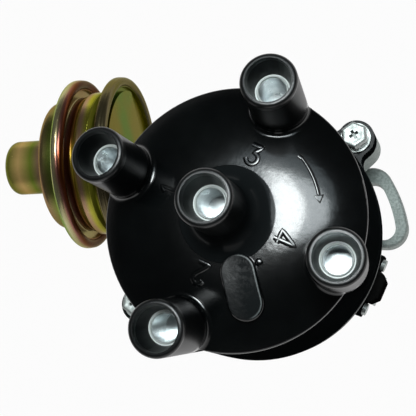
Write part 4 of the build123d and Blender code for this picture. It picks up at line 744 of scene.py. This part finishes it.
chromate, place = finish("yellow_chromate", Coat_Weight=0.02, Coat_Roughness=0.12, Specular_IOR_Level=0.05,
                         Specular_Tint=(0.6, 0.55, 0.25, 1))
clouds = noise(place, 34, 2)
fine = noise(place, 500, 2)
x, y, z = place.axis(0), place.axis(1), place.axis(2)
along_can = (x - can_start + (clouds - 0.5) * 4 * MM) / can_length
stops = [((seat * MM - can_start) / can_length, tint) for seat, tint in bands]
band_colours = along_can.node("ValToRGB", {"stops": stops}, 0, Fac=along_can)
from_axis = distance(y - can_side, z - can_height)
on_disc = (1 - from_axis.between(disc_radius - 0.2 * MM, disc_radius + 0.2 * MM)) \
    * x.between(disc_seat - 0.1 * MM, disc_seat + 0.1 * MM)
olive = clouds.between(0.4, 0.58).blend((0.19, 0.155, 0.0), (0.09, 0.19, 0.02))
facing_up = Tone(chromate.node_tree.nodes.new("ShaderNodeTexCoord").outputs["Normal"]).axis(2).between(0.2, 0.95)
mirrored = facing_up * x.between(-80 * MM, -70 * MM)
lay(chromate, Base_Color=on_disc.blend(band_colours, olive), Metallic=0.5 + fine * 0.1 + mirrored * 0.38,
    Roughness=0.2 + fine * 0.1, relief=noise(place, 160, 2), depth=0.00004)
dress(chromate, "vacuum_outer_can", "vacuum_spool_can", "vacuum_inner_can", "vacuum_nipples", "vacuum_rod",
      "vacuum_bracket")

# The crimped edges are rolled over, so each rim carries a half-round roll. Two narrow beads
# pressed round the spool, beside its rib, keep it stiff. All four are spun from their sections.
rim_roll = arc((28.8, 0), 1.6, -20, 200, 11)
spool_bead = arc((23.9, 0), 0.6, -90, 90, 6)
for name, section, seat in (("outer_rim_roll", rim_roll, -63.2 * MM), ("inner_rim_roll", rim_roll, -47.8 * MM),
                            ("outer_spool_bead", spool_bead, -60.9 * MM),
                            ("inner_spool_bead", spool_bead, -52.3 * MM)):
    ring = turned_ring(section, Vector((seat, can_side, can_height)), Vector((1, 0, 0)), 128)
    settle(ring, name, chromate, "housing", 60)

# ---- Connector
# A black resin block for the pickup's two leads, held by two small screws. The pickup's bobbin is
# moulded in the same dull resin.
block_resin, place = finish("black_block_resin", Specular_IOR_Level=0.0)
pits = noise(place, 700, 4)
lay(block_resin, Base_Color=pits.blend((0.003, 0.003, 0.003), (0.009, 0.0095, 0.009)), Roughness=0.35 + pits * 0.25,
    relief=pits, depth=0.0001)
dress(block_resin, "connector_block", "pickup_coil")

bpy.context.scene.view_settings.view_transform = "Standard"
